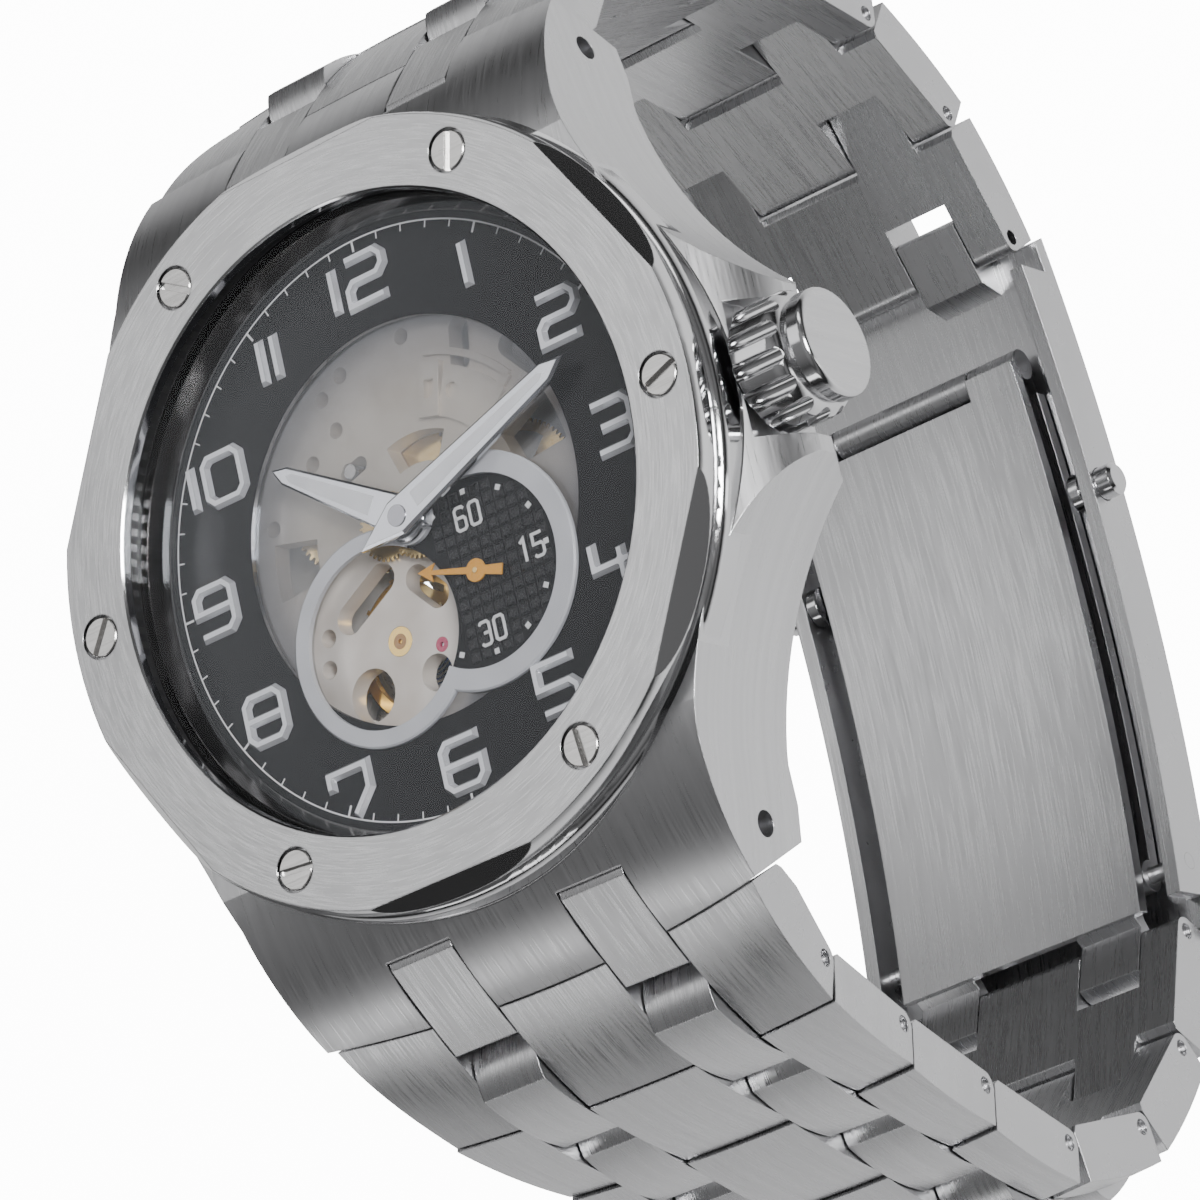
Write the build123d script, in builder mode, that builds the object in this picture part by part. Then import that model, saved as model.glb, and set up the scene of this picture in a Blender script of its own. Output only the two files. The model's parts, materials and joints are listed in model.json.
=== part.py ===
from build123d import *
from math import asin, atan2, cos, degrees, radians, sin, sqrt
import os

# Skeleton wristwatch in millimetres. The origin is on the hand axis at the dial's top face.
# +Y points to 12 o'clock, +X to the crown at 3 o'clock and +Z out of the dial.
# Side profiles of the case and bracelet are drawn as (distance from the hand axis, height).

os.makedirs("parts", exist_ok=True)

# ---------------------------------------------------------------- driving dimensions
# Case and bezel
BEZEL_TOP = 3.45  # height of the brushed ring
BEZEL_SEAT = 1.75  # where the bezel stands on the case
BEZEL_RADIUS = 21.1
BEZEL_TOP_RADIUS = 20.9
BEZEL_FLAT_RADIUS = 20.2  # top face, midway between two screws
BEZEL_OPENING = 16.97
SCREW_CIRCLE = 19.1
SCREW_COUNT = 6
SCREW_HEAD_RADIUS = 1.08
SCREW_SHANK_RADIUS = 0.6
CRYSTAL_RADIUS = 17.5
CRYSTAL_BOTTOM = 1.45
CRYSTAL_THICKNESS = 1.3
CASE_BORE = 18.0
CASE_RING_RADIUS = 21.3
CASE_TOP = 1.7
CASE_BOTTOM = -6.4
LUG_BOTTOM = -6.9
CASE_BACK_BOTTOM = -8.0
LUG_HALF_WIDTH = 13.95
LUG_END = (25.5, -3.4)  # upper edge of the lug end on the centre line
LUG_END_LEAN = 25.2  # degrees that the lug end face leans from the vertical
LUG_BOW = 1.57  # how far the lug end is bowed over 32 mm
GUARD_REACH = 23.3
GUARD_INSIDE = 3.75
INSIDE_RADIUS = 17.95  # of what drops into the case's bore
BACK_FLANGE_RADIUS = 18.4
BACK_FLAT = (13.0, 17.3)  # inner and outer radius of the case back's flat ring
BACK_WINDOW_RADIUS = 13.9
BACK_WINDOW_BOTTOM = -7.4
BACK_WINDOW_THICKNESS = 0.9
BACK_SEAT = 0.4  # how far the case back reaches into the case
SCREW_HEAD_HEIGHT = 0.5
SCREW_SLOT_TURNS = (20, 75, -30, 55, -5, 95)
LUG_HOLE_RADIUS = 0.7

# Crown
CROWN_HEIGHT = -2.4
CROWN_BASE = 21.75
CROWN_CAP = 26.3
CROWN_RADIUS = 3.5
CROWN_LOBES = 14
TUBE_RADIUS = 1.5
TUBE_BORE = 1.0
STEM_RADIUS = 0.7
STEM_END = 12.0
TUBE_END = 23.6
CROWN_BORE_END = 23.9
SEAL_PLACE = 22.2  # of the gasket in the crown, along X
SEAL_THICKNESS = 0.28
SEAL_GROOVE = 0.62  # from the tube's outside to the bottom of the gasket's groove

# Dial
DIAL_THICKNESS = 0.4
DIAL_WINDOW_RADIUS = 10.9
NUMERAL_CIRCLE = 13.65
SEVEN_CIRCLE = 14.7  # the 7 stands further out, clear of the frame
NUMERAL_HEIGHT = 2.6  # between stroke centre lines
NUMERAL_WIDTH = 2.45
NUMERAL_CLIP = 0.4
NUMERAL_STROKE = 0.62
NUMERAL_SPACING = 1.0  # between the centre lines of two figures
NUMERAL_RISE = 0.3
NUMERAL_TAPER = 30
GLASS_THICKNESS = 0.3
HUB_HOLE = 0.98  # round the pipes of the hands
SECONDS_CENTRE = (3.55, -4.3)
BALANCE_CENTRE = (-3.3, -5.5)
SECONDS_OPENING = 5.15
BALANCE_OPENING = 4.9
FRAME_WIDTH = 0.95

# Hands, as angles clockwise from 12
MINUTE_ANGLE = 70.8
HOUR_ANGLE = 305.9
SECONDS_ANGLE = 288.0
HOUR_HAND_BOTTOM = 0.48
MINUTE_HAND_BOTTOM = 0.9
SECONDS_HAND_BOTTOM = 0.33
HOUR_PIPE_RADIUS = 0.85
CANNON_PIPE_RADIUS = 0.58
FOURTH_ARBOR_RADIUS = 0.15

# Movement
PLATE_RADIUS = 13.0
PLATE_TOP = -1.3
PLATE_BOTTOM = -2.5
BRIDGE_TOP = -4.6
BRIDGE_BOTTOM = -5.3
RUNNING = 0.03  # radial clearance of a turning fit
JEWEL_THICKNESS = 0.4
PIVOT_RADIUS = 0.1
PIVOT_HOLE = PIVOT_RADIUS + RUNNING
PIVOT_BOTTOM = -4.95  # ends of the pivots, in the bridge and in the plate
PIVOT_TOP = -1.4
ARBOR_BOTTOM = -4.55  # shoulders of the arbors
ARBOR_TOP = -1.95
CENTRE_ARBOR_RADIUS = 0.3
MINUTE_POST_RADIUS = 0.2
BARREL_POST_RADIUS = 0.4
STEM_SLOT = (12.2, 0)
STEM_SLOT_SIZE = (2.4, 1.7)
BALANCE_RIM = (3.45, 4.15)
ROTOR_EDGE = 12.6
ROTOR_SECTOR = (150, 330)

# Bracelet: every link turns on the pin of the piece before it
LUG_PIN = (21.76, -3.81)
LINK_PITCH = 8.25
LINK_SLOPES = (43.0, 72.0, 72.0, 72.0, 100.0, 128.0, 152.0)  # degrees below the horizontal
LINK_HALF_WIDTHS = (13.9, 12.65, 11.5, 10.8, 10.4, 10.4, 10.4, 10.4)
LINK_CROWN = 132.0  # radius of the crown across the bracelet
LINK_ARCH = 37.0  # radius of the arch along a link
FIRST_LINK_ARCH = 25.0
LINK_OUTSIDE = 2.6  # from the pin to the outer face
LINK_INSIDE = 0.85  # from the pin to the face on the wrist
SEAM = 0.85  # from the pin to the end of its link
SEAM_GAP = 0.12
SLOT_INNER = 3.55
SLOT_WIDTH = 4.3
TONGUE_GAP = 0.1
TONGUE_REACH = 3.5  # round the pin, on the far side of the tongue
BRIDGE_HEIGHT = 1.4
LINK_PIN_RADIUS = 0.45
LUG_BAR_RADIUS = 0.68
PIN_CLEARANCE = 0.04  # round a pin, in the piece that turns on it
PIN_SEAT = 0.02  # round a pin, in the piece that holds it
ACROSS = 15  # more than half the bracelet's width

# Clasp
CLASP_CURVE = 104.0  # radius of its outer face
CLASP_BOTTOM = -56.2
CLASP_HALF_WIDTH = 11.0
CLASP_WALL = 0.9
BLADE_THICKNESS = 0.8
BLADE_HALF_WIDTH = 8.4
HINGE_PIN_RADIUS = 0.48
HINGE_BOSS_RADIUS = 0.95
BLADE_TONGUE_HALF_WIDTH = 4.9
OUTER_BLADE_CURVE = 102.05  # radius of the outer blade's inner face
INNER_BLADE_CURVE = 100.1


# ---------------------------------------------------------------- shared geometry
def clock(radius, angle):
    """A point on the dial, with its angle clockwise from 12."""
    return (radius * sin(radians(angle)), radius * cos(radians(angle)))


def polar(radius, angle):
    """A point at an angle anticlockwise from +X."""
    return (radius * cos(radians(angle)), radius * sin(radians(angle)))


def radial_plane(angle, origin=(0, 0, 0)):
    """An upright plane through the hand axis, with its x outwards at the angle and its y up."""
    return Plane(
        origin=origin,
        x_dir=(*polar(1, angle), 0),
        z_dir=(*polar(1, angle - 90), 0),
    )


def spot(pin, slope, along, out):
    """A point given from a bracelet pin: along the link, and out from it."""
    a = radians(slope)
    return (pin[0] + along * cos(a) + out * sin(a), pin[1] - along * sin(a) + out * cos(a))


def gear(teeth, module, phase=0.0):
    """Outline of a toothed wheel on its own centre, with one tooth at the phase angle."""
    step = 360 / teeth
    root = module * (teeth / 2 - 1.2)
    tip = module * (teeth / 2 + 0.9)
    corners = ((root, -0.30), (tip, -0.12), (tip, 0.12), (root, 0.30))
    return [polar(r, phase + step * (k + share)) for k in range(teeth) for r, share in corners]


def meshed(centre, other, teeth, other_teeth, phase=0.0):
    """Phase of the wheel at other that makes its teeth fit those of the wheel at centre."""
    line = bearing(centre, other)
    turned = (line - phase) * teeth / 360
    return line + 180 + (turned - 0.5) * 360 / other_teeth


def bearing(start, end):
    """Direction from one point to another, anticlockwise from +X."""
    return degrees(atan2(end[1] - start[1], end[0] - start[0]))


def towards(start, end, distance):
    """The point at a distance from the start, on the line to the end."""
    step = polar(distance, bearing(start, end))
    return (start[0] + step[0], start[1] + step[1])


# ---------------------------------------------------------------- case
with BuildPart() as case_middle:
    # plan outline: waisted flanks, lugs and crown guards
    with BuildSketch(Plane.XY.offset(LUG_BOTTOM)):
        with BuildLine():
            flank = ThreePointArc((GUARD_REACH, 4.7), (18.2, 10.5), (15.3, 17.8))
            lug_side = Line(flank @ 1, (LUG_HALF_WIDTH, 26.6))
            lug_end = Line(lug_side @ 1, (-LUG_HALF_WIDTH, 26.6))
            Line(lug_end @ 1, (-15.3, 17.8))
            ThreePointArc((-15.3, 17.8), (-17.9, 11.0), (-21.2, 4.4))
            Line((-21.2, 4.4), (-21.2, 0))
            Line(flank @ 0, (GUARD_REACH, GUARD_INSIDE))
            Line((GUARD_REACH, GUARD_INSIDE), (21.4, GUARD_INSIDE))
            Line((21.4, GUARD_INSIDE), (21.4, 0))
            mirror(about=Plane.XZ)
        make_face()
    extrude(amount=CASE_TOP - LUG_BOTTOM)
    # the top falls away towards the lugs
    with BuildSketch(Plane.YZ):
        with BuildLine():
            Line((0, CASE_TOP), (16.0, CASE_TOP))
            ThreePointArc((16.0, CASE_TOP), (21.4, 0.0), LUG_END)
            Polyline(LUG_END, (27.0, -5.0), (27.0, LUG_BOTTOM), (20.5, LUG_BOTTOM))
            Polyline((20.5, LUG_BOTTOM), (18.5, CASE_BOTTOM), (0, CASE_BOTTOM))
            mirror(about=Plane.YZ)
        make_face()
    extrude(amount=40, both=True, mode=Mode.INTERSECT)
    # and towards the crown guards and the opposite flank
    with BuildSketch(Plane.XZ):
        with BuildLine():
            Line((0, CASE_TOP), (17.0, CASE_TOP))
            ThreePointArc((17.0, CASE_TOP), (20.9, 0.1), (GUARD_REACH, -3.4))
            Polyline((GUARD_REACH, -3.4), (GUARD_REACH, -4.6), (22.0, LUG_BOTTOM), (0, LUG_BOTTOM))
            mirror(about=Plane.YZ)
        make_face()
    extrude(amount=40, both=True, mode=Mode.INTERSECT)
    # lug ends: leaning and bowed
    for side in (1, -1):
        end_plane = Plane(
            origin=(0, side * LUG_END[0], LUG_END[1]),
            x_dir=(side, 0, 0),
            z_dir=(0, side * sin(radians(LUG_END_LEAN)), cos(radians(LUG_END_LEAN))),
        )
        with BuildSketch(end_plane):
            with BuildLine():
                ThreePointArc((-16, -LUG_BOW), (0, 0), (16, -LUG_BOW))
                Polyline((16, -LUG_BOW), (16, 6), (-16, 6), (-16, -LUG_BOW))
            make_face()
        extrude(amount=9, both=True, mode=Mode.SUBTRACT)
    # slots for the first links
    for side in (1, -1):
        with BuildSketch(*[Plane.YZ.offset(x) for x in (SLOT_INNER, -SLOT_INNER - SLOT_WIDTH)]):
            with Locations((side * LUG_PIN[0], LUG_PIN[1])):
                Circle(TONGUE_REACH - 0.05)
            Polygon(
                (side * LUG_PIN[0], LUG_PIN[1] + TONGUE_REACH - 0.05),
                (side * 28, LUG_PIN[1] + TONGUE_REACH - 0.05),
                (side * 28, -9),
                (side * LUG_PIN[0], -9),
                align=None,
            )
        extrude(amount=SLOT_WIDTH, mode=Mode.SUBTRACT)
    # polished ring under the bezel
    with BuildSketch(Plane.XZ):
        with BuildLine():
            Polyline(
                (CASE_BORE, BEZEL_SEAT), (CASE_RING_RADIUS - 0.45, BEZEL_SEAT)
            )
            RadiusArc(
                (CASE_RING_RADIUS - 0.45, BEZEL_SEAT),
                (CASE_RING_RADIUS, BEZEL_SEAT - 0.6),
                0.7,
            )
            Polyline(
                (CASE_RING_RADIUS, BEZEL_SEAT - 0.6),
                (CASE_RING_RADIUS, -0.1),
                (CASE_RING_RADIUS - 0.6, -0.8),
                (CASE_BORE, -0.8),
                (CASE_BORE, BEZEL_SEAT),
            )
        make_face()
    revolve(axis=Axis.Z)
    # bore for the movement, and the seat of the case back
    with Locations((0, 0, CASE_BOTTOM)):
        Hole(CASE_BORE)
    # drilled lugs, crown tube hole and bezel screw threads
    with BuildSketch(Plane.YZ):
        with Locations((LUG_PIN[0], LUG_PIN[1]), (-LUG_PIN[0], LUG_PIN[1])):
            Circle(LUG_HOLE_RADIUS)
    extrude(amount=20, both=True, mode=Mode.SUBTRACT)
    with BuildSketch(Plane.YZ.offset(CASE_BORE - 1)):
        with Locations((0, CROWN_HEIGHT)):
            Circle(TUBE_RADIUS)
    extrude(amount=6, mode=Mode.SUBTRACT)
    with BuildSketch(Plane.XY.offset(BEZEL_SEAT)):
        with PolarLocations(SCREW_CIRCLE, SCREW_COUNT):
            Circle(SCREW_SHANK_RADIUS)
    extrude(amount=-2.1, mode=Mode.SUBTRACT)
case_middle.part.label = "case_middle"
export_step(case_middle.part, "parts/case_middle.step")

with BuildPart() as bezel:
    with BuildSketch(Plane.XZ):
        with BuildLine():
            Polyline(
                (BEZEL_OPENING, CRYSTAL_BOTTOM + CRYSTAL_THICKNESS),
                (BEZEL_OPENING, BEZEL_TOP - 0.12),
                (BEZEL_OPENING + 0.12, BEZEL_TOP),
                (BEZEL_TOP_RADIUS, BEZEL_TOP),
            )
            ThreePointArc(
                (BEZEL_TOP_RADIUS, BEZEL_TOP), (BEZEL_RADIUS, BEZEL_TOP - 0.5), (BEZEL_RADIUS, 2.3)
            )
            Polyline(
                (BEZEL_RADIUS, 2.3),
                (BEZEL_RADIUS - 0.25, BEZEL_SEAT),
                (CRYSTAL_RADIUS + 0.4, BEZEL_SEAT),
                (CRYSTAL_RADIUS + 0.4, CRYSTAL_BOTTOM + CRYSTAL_THICKNESS),
                (BEZEL_OPENING, CRYSTAL_BOTTOM + CRYSTAL_THICKNESS),
            )
        make_face()
    revolve(axis=Axis.Z)
    for index in range(SCREW_COUNT):
        with BuildSketch(radial_plane(30 + index * 360 / SCREW_COUNT)):
            Polygon(
                (BEZEL_FLAT_RADIUS, BEZEL_TOP),
                (BEZEL_FLAT_RADIUS, 5),
                (23, 5),
                (23, 1.6),
                (BEZEL_RADIUS, 2.25),
                align=None,
            )
        extrude(amount=12, both=True, mode=Mode.SUBTRACT)
    with Locations((0, 0, BEZEL_TOP)):
        with PolarLocations(SCREW_CIRCLE, SCREW_COUNT):
            CounterBoreHole(SCREW_SHANK_RADIUS + 0.05, SCREW_HEAD_RADIUS + 0.13, SCREW_HEAD_HEIGHT)
bezel.part.label = "bezel"
export_step(bezel.part, "parts/bezel.step")

with BuildPart() as bezel_screws:
    with BuildSketch(Plane.XY.offset(BEZEL_TOP - SCREW_HEAD_HEIGHT)):
        with PolarLocations(SCREW_CIRCLE, SCREW_COUNT):
            Circle(SCREW_HEAD_RADIUS)
    extrude(amount=SCREW_HEAD_HEIGHT - 0.03)
    chamfer(bezel_screws.faces().sort_by(Axis.Z)[-SCREW_COUNT:].edges(), 0.06)
    with BuildSketch(Plane.XY.offset(BEZEL_TOP - SCREW_HEAD_HEIGHT)):
        with PolarLocations(SCREW_CIRCLE, SCREW_COUNT):
            Circle(SCREW_SHANK_RADIUS)
    extrude(amount=-3.2)
    for index, turn in enumerate(SCREW_SLOT_TURNS):
        with BuildSketch(Plane.XY.offset(BEZEL_TOP)):
            with Locations(polar(SCREW_CIRCLE, index * 360 / SCREW_COUNT)):
                Rectangle(2.6, 0.36, rotation=turn)
        extrude(amount=-0.3, mode=Mode.SUBTRACT)
bezel_screws.part.label = "bezel_screws"
export_step(bezel_screws.part, "parts/bezel_screws.step")

with BuildPart() as crystal:
    with BuildSketch(Plane.XY.offset(CRYSTAL_BOTTOM)):
        Circle(CRYSTAL_RADIUS)
    extrude(amount=CRYSTAL_THICKNESS)
    chamfer(crystal.edges().sort_by(Axis.Z)[0], 0.15)
crystal.part.label = "crystal"
export_step(crystal.part, "parts/crystal.step")

with BuildPart() as crystal_gasket:
    with BuildSketch(Plane.XY.offset(CRYSTAL_BOTTOM)):
        Circle(CRYSTAL_RADIUS + 0.4)
        Circle(CRYSTAL_RADIUS, mode=Mode.SUBTRACT)
    extrude(amount=CRYSTAL_THICKNESS)
crystal_gasket.part.label = "crystal_gasket"
export_step(crystal_gasket.part, "parts/crystal_gasket.step")

with BuildPart() as dial_flange:
    with BuildSketch(Plane.XZ):
        Polygon(
            (INSIDE_RADIUS, 0), (INSIDE_RADIUS, CRYSTAL_BOTTOM), (16.9, CRYSTAL_BOTTOM),
            (16.35, 0.2), (16.35, 0),
            align=None,
        )
    revolve(axis=Axis.Z)
dial_flange.part.label = "dial_flange"
export_step(dial_flange.part, "parts/dial_flange.step")

with BuildPart() as case_back:
    with BuildSketch(Plane.XZ):
        with BuildLine():
            Polyline(
                (BACK_WINDOW_RADIUS, CASE_BOTTOM + BACK_SEAT),
                (INSIDE_RADIUS, CASE_BOTTOM + BACK_SEAT),
                (INSIDE_RADIUS, CASE_BOTTOM),
                (BACK_FLANGE_RADIUS, CASE_BOTTOM),
                (BACK_FLANGE_RADIUS, CASE_BOTTOM - 0.7),
                (BACK_FLAT[1], CASE_BACK_BOTTOM),
                (BACK_FLAT[0], CASE_BACK_BOTTOM),
                (BACK_FLAT[0], BACK_WINDOW_BOTTOM),
                (BACK_WINDOW_RADIUS, BACK_WINDOW_BOTTOM),
                (BACK_WINDOW_RADIUS, CASE_BOTTOM + BACK_SEAT),
            )
        make_face()
    revolve(axis=Axis.Z)
    # notches for the opening key
    with BuildSketch(Plane.XY.offset(CASE_BACK_BOTTOM)):
        with PolarLocations(BACK_FLAT[1], SCREW_COUNT):
            Rectangle(1.8, 2.2)
    extrude(amount=0.8, mode=Mode.SUBTRACT)
case_back.part.label = "case_back"
export_step(case_back.part, "parts/case_back.step")

with BuildPart() as back_window:
    with BuildSketch(Plane.XY.offset(BACK_WINDOW_BOTTOM)):
        Circle(BACK_WINDOW_RADIUS)
    extrude(amount=BACK_WINDOW_THICKNESS)
back_window.part.label = "back_window"
export_step(back_window.part, "parts/back_window.step")

with BuildPart() as lug_bars:
    with BuildSketch(Plane.YZ):
        with Locations((LUG_PIN[0], LUG_PIN[1]), (-LUG_PIN[0], LUG_PIN[1])):
            Circle(LUG_BAR_RADIUS)
    extrude(amount=LUG_HALF_WIDTH - 0.6, both=True)
    chamfer(lug_bars.edges().filter_by(GeomType.CIRCLE), 0.15)
lug_bars.part.label = "lug_bars"
export_step(lug_bars.part, "parts/lug_bars.step")

# ---------------------------------------------------------------- crown
with BuildPart() as crown_tube:
    with BuildSketch(Plane.YZ.offset(CASE_BORE)):
        with Locations((0, CROWN_HEIGHT)):
            Circle(TUBE_RADIUS)
            Circle(TUBE_BORE, mode=Mode.SUBTRACT)
    extrude(amount=TUBE_END - CASE_BORE)
crown_tube.part.label = "crown_tube"
export_step(crown_tube.part, "parts/crown_tube.step")

with BuildPart() as crown_gasket:
    with BuildSketch(Plane.XZ):
        with Locations((SEAL_PLACE, CROWN_HEIGHT + TUBE_RADIUS + RUNNING + SEAL_THICKNESS)):
            Circle(SEAL_THICKNESS)
    revolve(axis=Axis((0, 0, CROWN_HEIGHT), (1, 0, 0)))
crown_gasket.part.label = "crown_gasket"
export_step(crown_gasket.part, "parts/crown_gasket.step")

with BuildPart() as crown:
    # turned body: fluted barrel, neck and cap
    with BuildSketch(Plane.XZ):
        with BuildLine():
            Polyline(
                (CROWN_BASE, CROWN_HEIGHT),
                (CROWN_BASE, CROWN_HEIGHT + CROWN_RADIUS - 0.35),
                (CROWN_BASE + 0.3, CROWN_HEIGHT + CROWN_RADIUS),
                (24.1, CROWN_HEIGHT + CROWN_RADIUS),
            )
            ThreePointArc(
                (24.1, CROWN_HEIGHT + CROWN_RADIUS),
                (24.75, CROWN_HEIGHT + CROWN_RADIUS - 0.25),
                (25.0, CROWN_HEIGHT + CROWN_RADIUS - 0.85),
            )
            Polyline(
                (25.0, CROWN_HEIGHT + CROWN_RADIUS - 0.85),
                (25.15, CROWN_HEIGHT + 2.75),
                (25.3, CROWN_HEIGHT + 3.0),
                (25.95, CROWN_HEIGHT + 3.0),
            )
            ThreePointArc(
                (25.95, CROWN_HEIGHT + 3.0),
                (26.22, CROWN_HEIGHT + 2.88),
                (CROWN_CAP, CROWN_HEIGHT + 2.6),
            )
            Polyline((CROWN_CAP, CROWN_HEIGHT + 2.6), (CROWN_CAP, CROWN_HEIGHT), (CROWN_BASE, CROWN_HEIGHT))
        make_face()
    revolve(axis=Axis((0, 0, CROWN_HEIGHT), (1, 0, 0)))
    # flutes between the lobes
    with BuildSketch(Plane.YZ.offset(CROWN_BASE)):
        with Locations((0, CROWN_HEIGHT)):
            with PolarLocations(CROWN_RADIUS + 0.12, CROWN_LOBES):
                Circle(0.5)
    extrude(amount=3.1, mode=Mode.SUBTRACT)
    # bore over the tube, groove of the gasket, and the stem's thread
    with BuildSketch(Plane.XZ):
        Polygon(
            (CROWN_BASE, CROWN_HEIGHT),
            (CROWN_BASE, CROWN_HEIGHT + TUBE_RADIUS + RUNNING),
            (SEAL_PLACE - 0.3, CROWN_HEIGHT + TUBE_RADIUS + RUNNING),
            (SEAL_PLACE - 0.3, CROWN_HEIGHT + TUBE_RADIUS + SEAL_GROOVE),
            (SEAL_PLACE + 0.3, CROWN_HEIGHT + TUBE_RADIUS + SEAL_GROOVE),
            (SEAL_PLACE + 0.3, CROWN_HEIGHT + TUBE_RADIUS + RUNNING),
            (CROWN_BORE_END, CROWN_HEIGHT + TUBE_RADIUS + RUNNING),
            (CROWN_BORE_END, CROWN_HEIGHT + STEM_RADIUS),
            (25.2, CROWN_HEIGHT + STEM_RADIUS),
            (25.2, CROWN_HEIGHT),
            align=None,
        )
    revolve(axis=Axis((0, 0, CROWN_HEIGHT), (1, 0, 0)), mode=Mode.SUBTRACT)
crown.part.label = "crown"
export_step(crown.part, "parts/crown.step")

with BuildPart() as winding_stem:
    with BuildSketch(Plane.YZ.offset(STEM_END - 0.8)):
        with Locations((0, CROWN_HEIGHT)):
            Circle(0.45)
    extrude(amount=2)
    with BuildSketch(Plane.YZ.offset(STEM_END)):
        with Locations((0, CROWN_HEIGHT)):
            Circle(STEM_RADIUS)
    extrude(amount=CROWN_CAP - 1.1 - STEM_END)
winding_stem.part.label = "winding_stem"
export_step(winding_stem.part, "parts/winding_stem.step")

# ---------------------------------------------------------------- dial
with BuildPart() as dial_ring:
    with BuildSketch(Plane.XY.offset(-DIAL_THICKNESS)):
        Circle(CASE_BORE - 0.1)
        Circle(DIAL_WINDOW_RADIUS, mode=Mode.SUBTRACT)
    extrude(amount=DIAL_THICKNESS)
dial_ring.part.label = "dial_ring"
export_step(dial_ring.part, "parts/dial_ring.step")

with BuildPart() as dial_window:
    with BuildSketch(Plane.XY.offset(-GLASS_THICKNESS)):
        Circle(DIAL_WINDOW_RADIUS - 0.03)
        with Locations(SECONDS_CENTRE):
            Circle(SECONDS_OPENING + 0.05, mode=Mode.SUBTRACT)
        with Locations(BALANCE_CENTRE):
            Circle(BALANCE_OPENING + 0.1, mode=Mode.SUBTRACT)
        Circle(HUB_HOLE, mode=Mode.SUBTRACT)
    extrude(amount=GLASS_THICKNESS)
dial_window.part.label = "dial_window"
export_step(dial_window.part, "parts/dial_window.step")

with BuildPart() as eight_frame:
    with BuildSketch():
        with Locations(SECONDS_CENTRE):
            Circle(SECONDS_OPENING + FRAME_WIDTH + 0.25)
        with Locations(BALANCE_CENTRE):
            Circle(BALANCE_OPENING + FRAME_WIDTH)
        with Locations(SECONDS_CENTRE):
            Circle(SECONDS_OPENING, mode=Mode.SUBTRACT)
        with Locations(BALANCE_CENTRE):
            Circle(BALANCE_OPENING, mode=Mode.SUBTRACT)
        Circle(HUB_HOLE + 0.45)
        Circle(HUB_HOLE, mode=Mode.SUBTRACT)
    extrude(amount=0.3)
    chamfer(eight_frame.faces().sort_by(Axis.Z)[-1].outer_wire().edges(), 0.1)
eight_frame.part.label = "eight_frame"
export_step(eight_frame.part, "parts/eight_frame.step")

with BuildPart() as seconds_subdial:
    with BuildSketch(Plane.XY.offset(-GLASS_THICKNESS)):
        with Locations(SECONDS_CENTRE):
            Circle(SECONDS_OPENING + 0.02)
            Circle(0.35, mode=Mode.SUBTRACT)
        with Locations(BALANCE_CENTRE):
            Circle(BALANCE_OPENING, mode=Mode.SUBTRACT)
        Circle(HUB_HOLE, mode=Mode.SUBTRACT)
    extrude(amount=GLASS_THICKNESS)
seconds_subdial.part.label = "seconds_subdial"
export_step(seconds_subdial.part, "parts/seconds_subdial.step")


def digit_runs(figure):
    """Centre lines of one upright figure as open runs of points, and the width they take."""
    w, h, c = NUMERAL_WIDTH, NUMERAL_HEIGHT, NUMERAL_CLIP
    mid = h / 2
    left = [(c, h), (0, h - c), (0, c), (c, 0)]
    right = [(w - c, 0), (w, c), (w, h - c), (w - c, h)]
    ring = left + right + [(c, h)]
    nine = [(0, 0), (w - c, 0), (w, c), (w, h - c), (w - c, h), (c, h), (0, h - c), (0, mid), (w, mid)]
    runs = {
        "0": [ring],
        "1": [[(0, 0), (0, h)]],
        "2": [[(0, h), (w - c, h), (w, h - c), (w, mid + c), (w - c, mid), (c, mid), (0, mid - c),
               (0, 0), (w, 0)]],
        "3": [[(0, h), (w - c, h), (w, h - c), (w, c), (w - c, 0), (0, 0)], [(0.4, mid), (w, mid)]],
        "4": [[(0, h), (0, 0.42 * h), (w, 0.42 * h)], [(0.72 * w, 0.75 * h), (0.72 * w, 0)]],
        "5": [[(w, h), (0, h), (0, mid), (w - c, mid), (w, mid - c), (w, c), (w - c, 0), (0, 0)]],
        "6": [[(w - x, h - y) for x, y in nine]],
        "7": [[(0, h - 0.9), (0, h), (w, h), (w, mid), (0.5 * w, 0)]],
        "8": [ring, [(0, mid), (w, mid)]],
        "9": [nine],
    }
    return runs[figure], 0 if figure == "1" else w


def numeral_runs(hour):
    """Runs of a whole numeral, centred on its own place."""
    placed = []
    edge = 0
    for figure in str(hour):
        runs, width = digit_runs(figure)
        placed += [[(x + edge, y - NUMERAL_HEIGHT / 2) for x, y in run] for run in runs]
        edge += width + NUMERAL_SPACING
    shift = (edge - NUMERAL_SPACING) / 2
    return [[(x - shift, y) for x, y in run] for run in placed]


with BuildPart() as hour_numerals:
    for hour in range(1, 13):
        place = clock(SEVEN_CIRCLE if hour == 7 else NUMERAL_CIRCLE, hour * 30)
        with BuildSketch(Plane(origin=(*place, 0))):
            for run in numeral_runs(hour):
                with BuildLine():
                    Polyline(*run)
                trace(line_width=NUMERAL_STROKE)
        extrude(amount=NUMERAL_RISE, taper=NUMERAL_TAPER)
hour_numerals.part.label = "hour_numerals"
export_step(hour_numerals.part, "parts/hour_numerals.step")


# ---------------------------------------------------------------- hands
def hand_plane(angle, height, centre=(0, 0)):
    """A plane on a hand's underside, with its x along the hand."""
    return Plane(origin=(*centre, height), x_dir=(*clock(1, angle), 0))


def pointer(tail, waist, shoulder, tip):
    """Outline of a tapering hand: a pointed tail, its hub and a pointed tip."""
    half = [(tail, 0), waist, shoulder, (tip, 0)]
    return half + [(x, -y) for x, y in half[-2:0:-1]]


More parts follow.
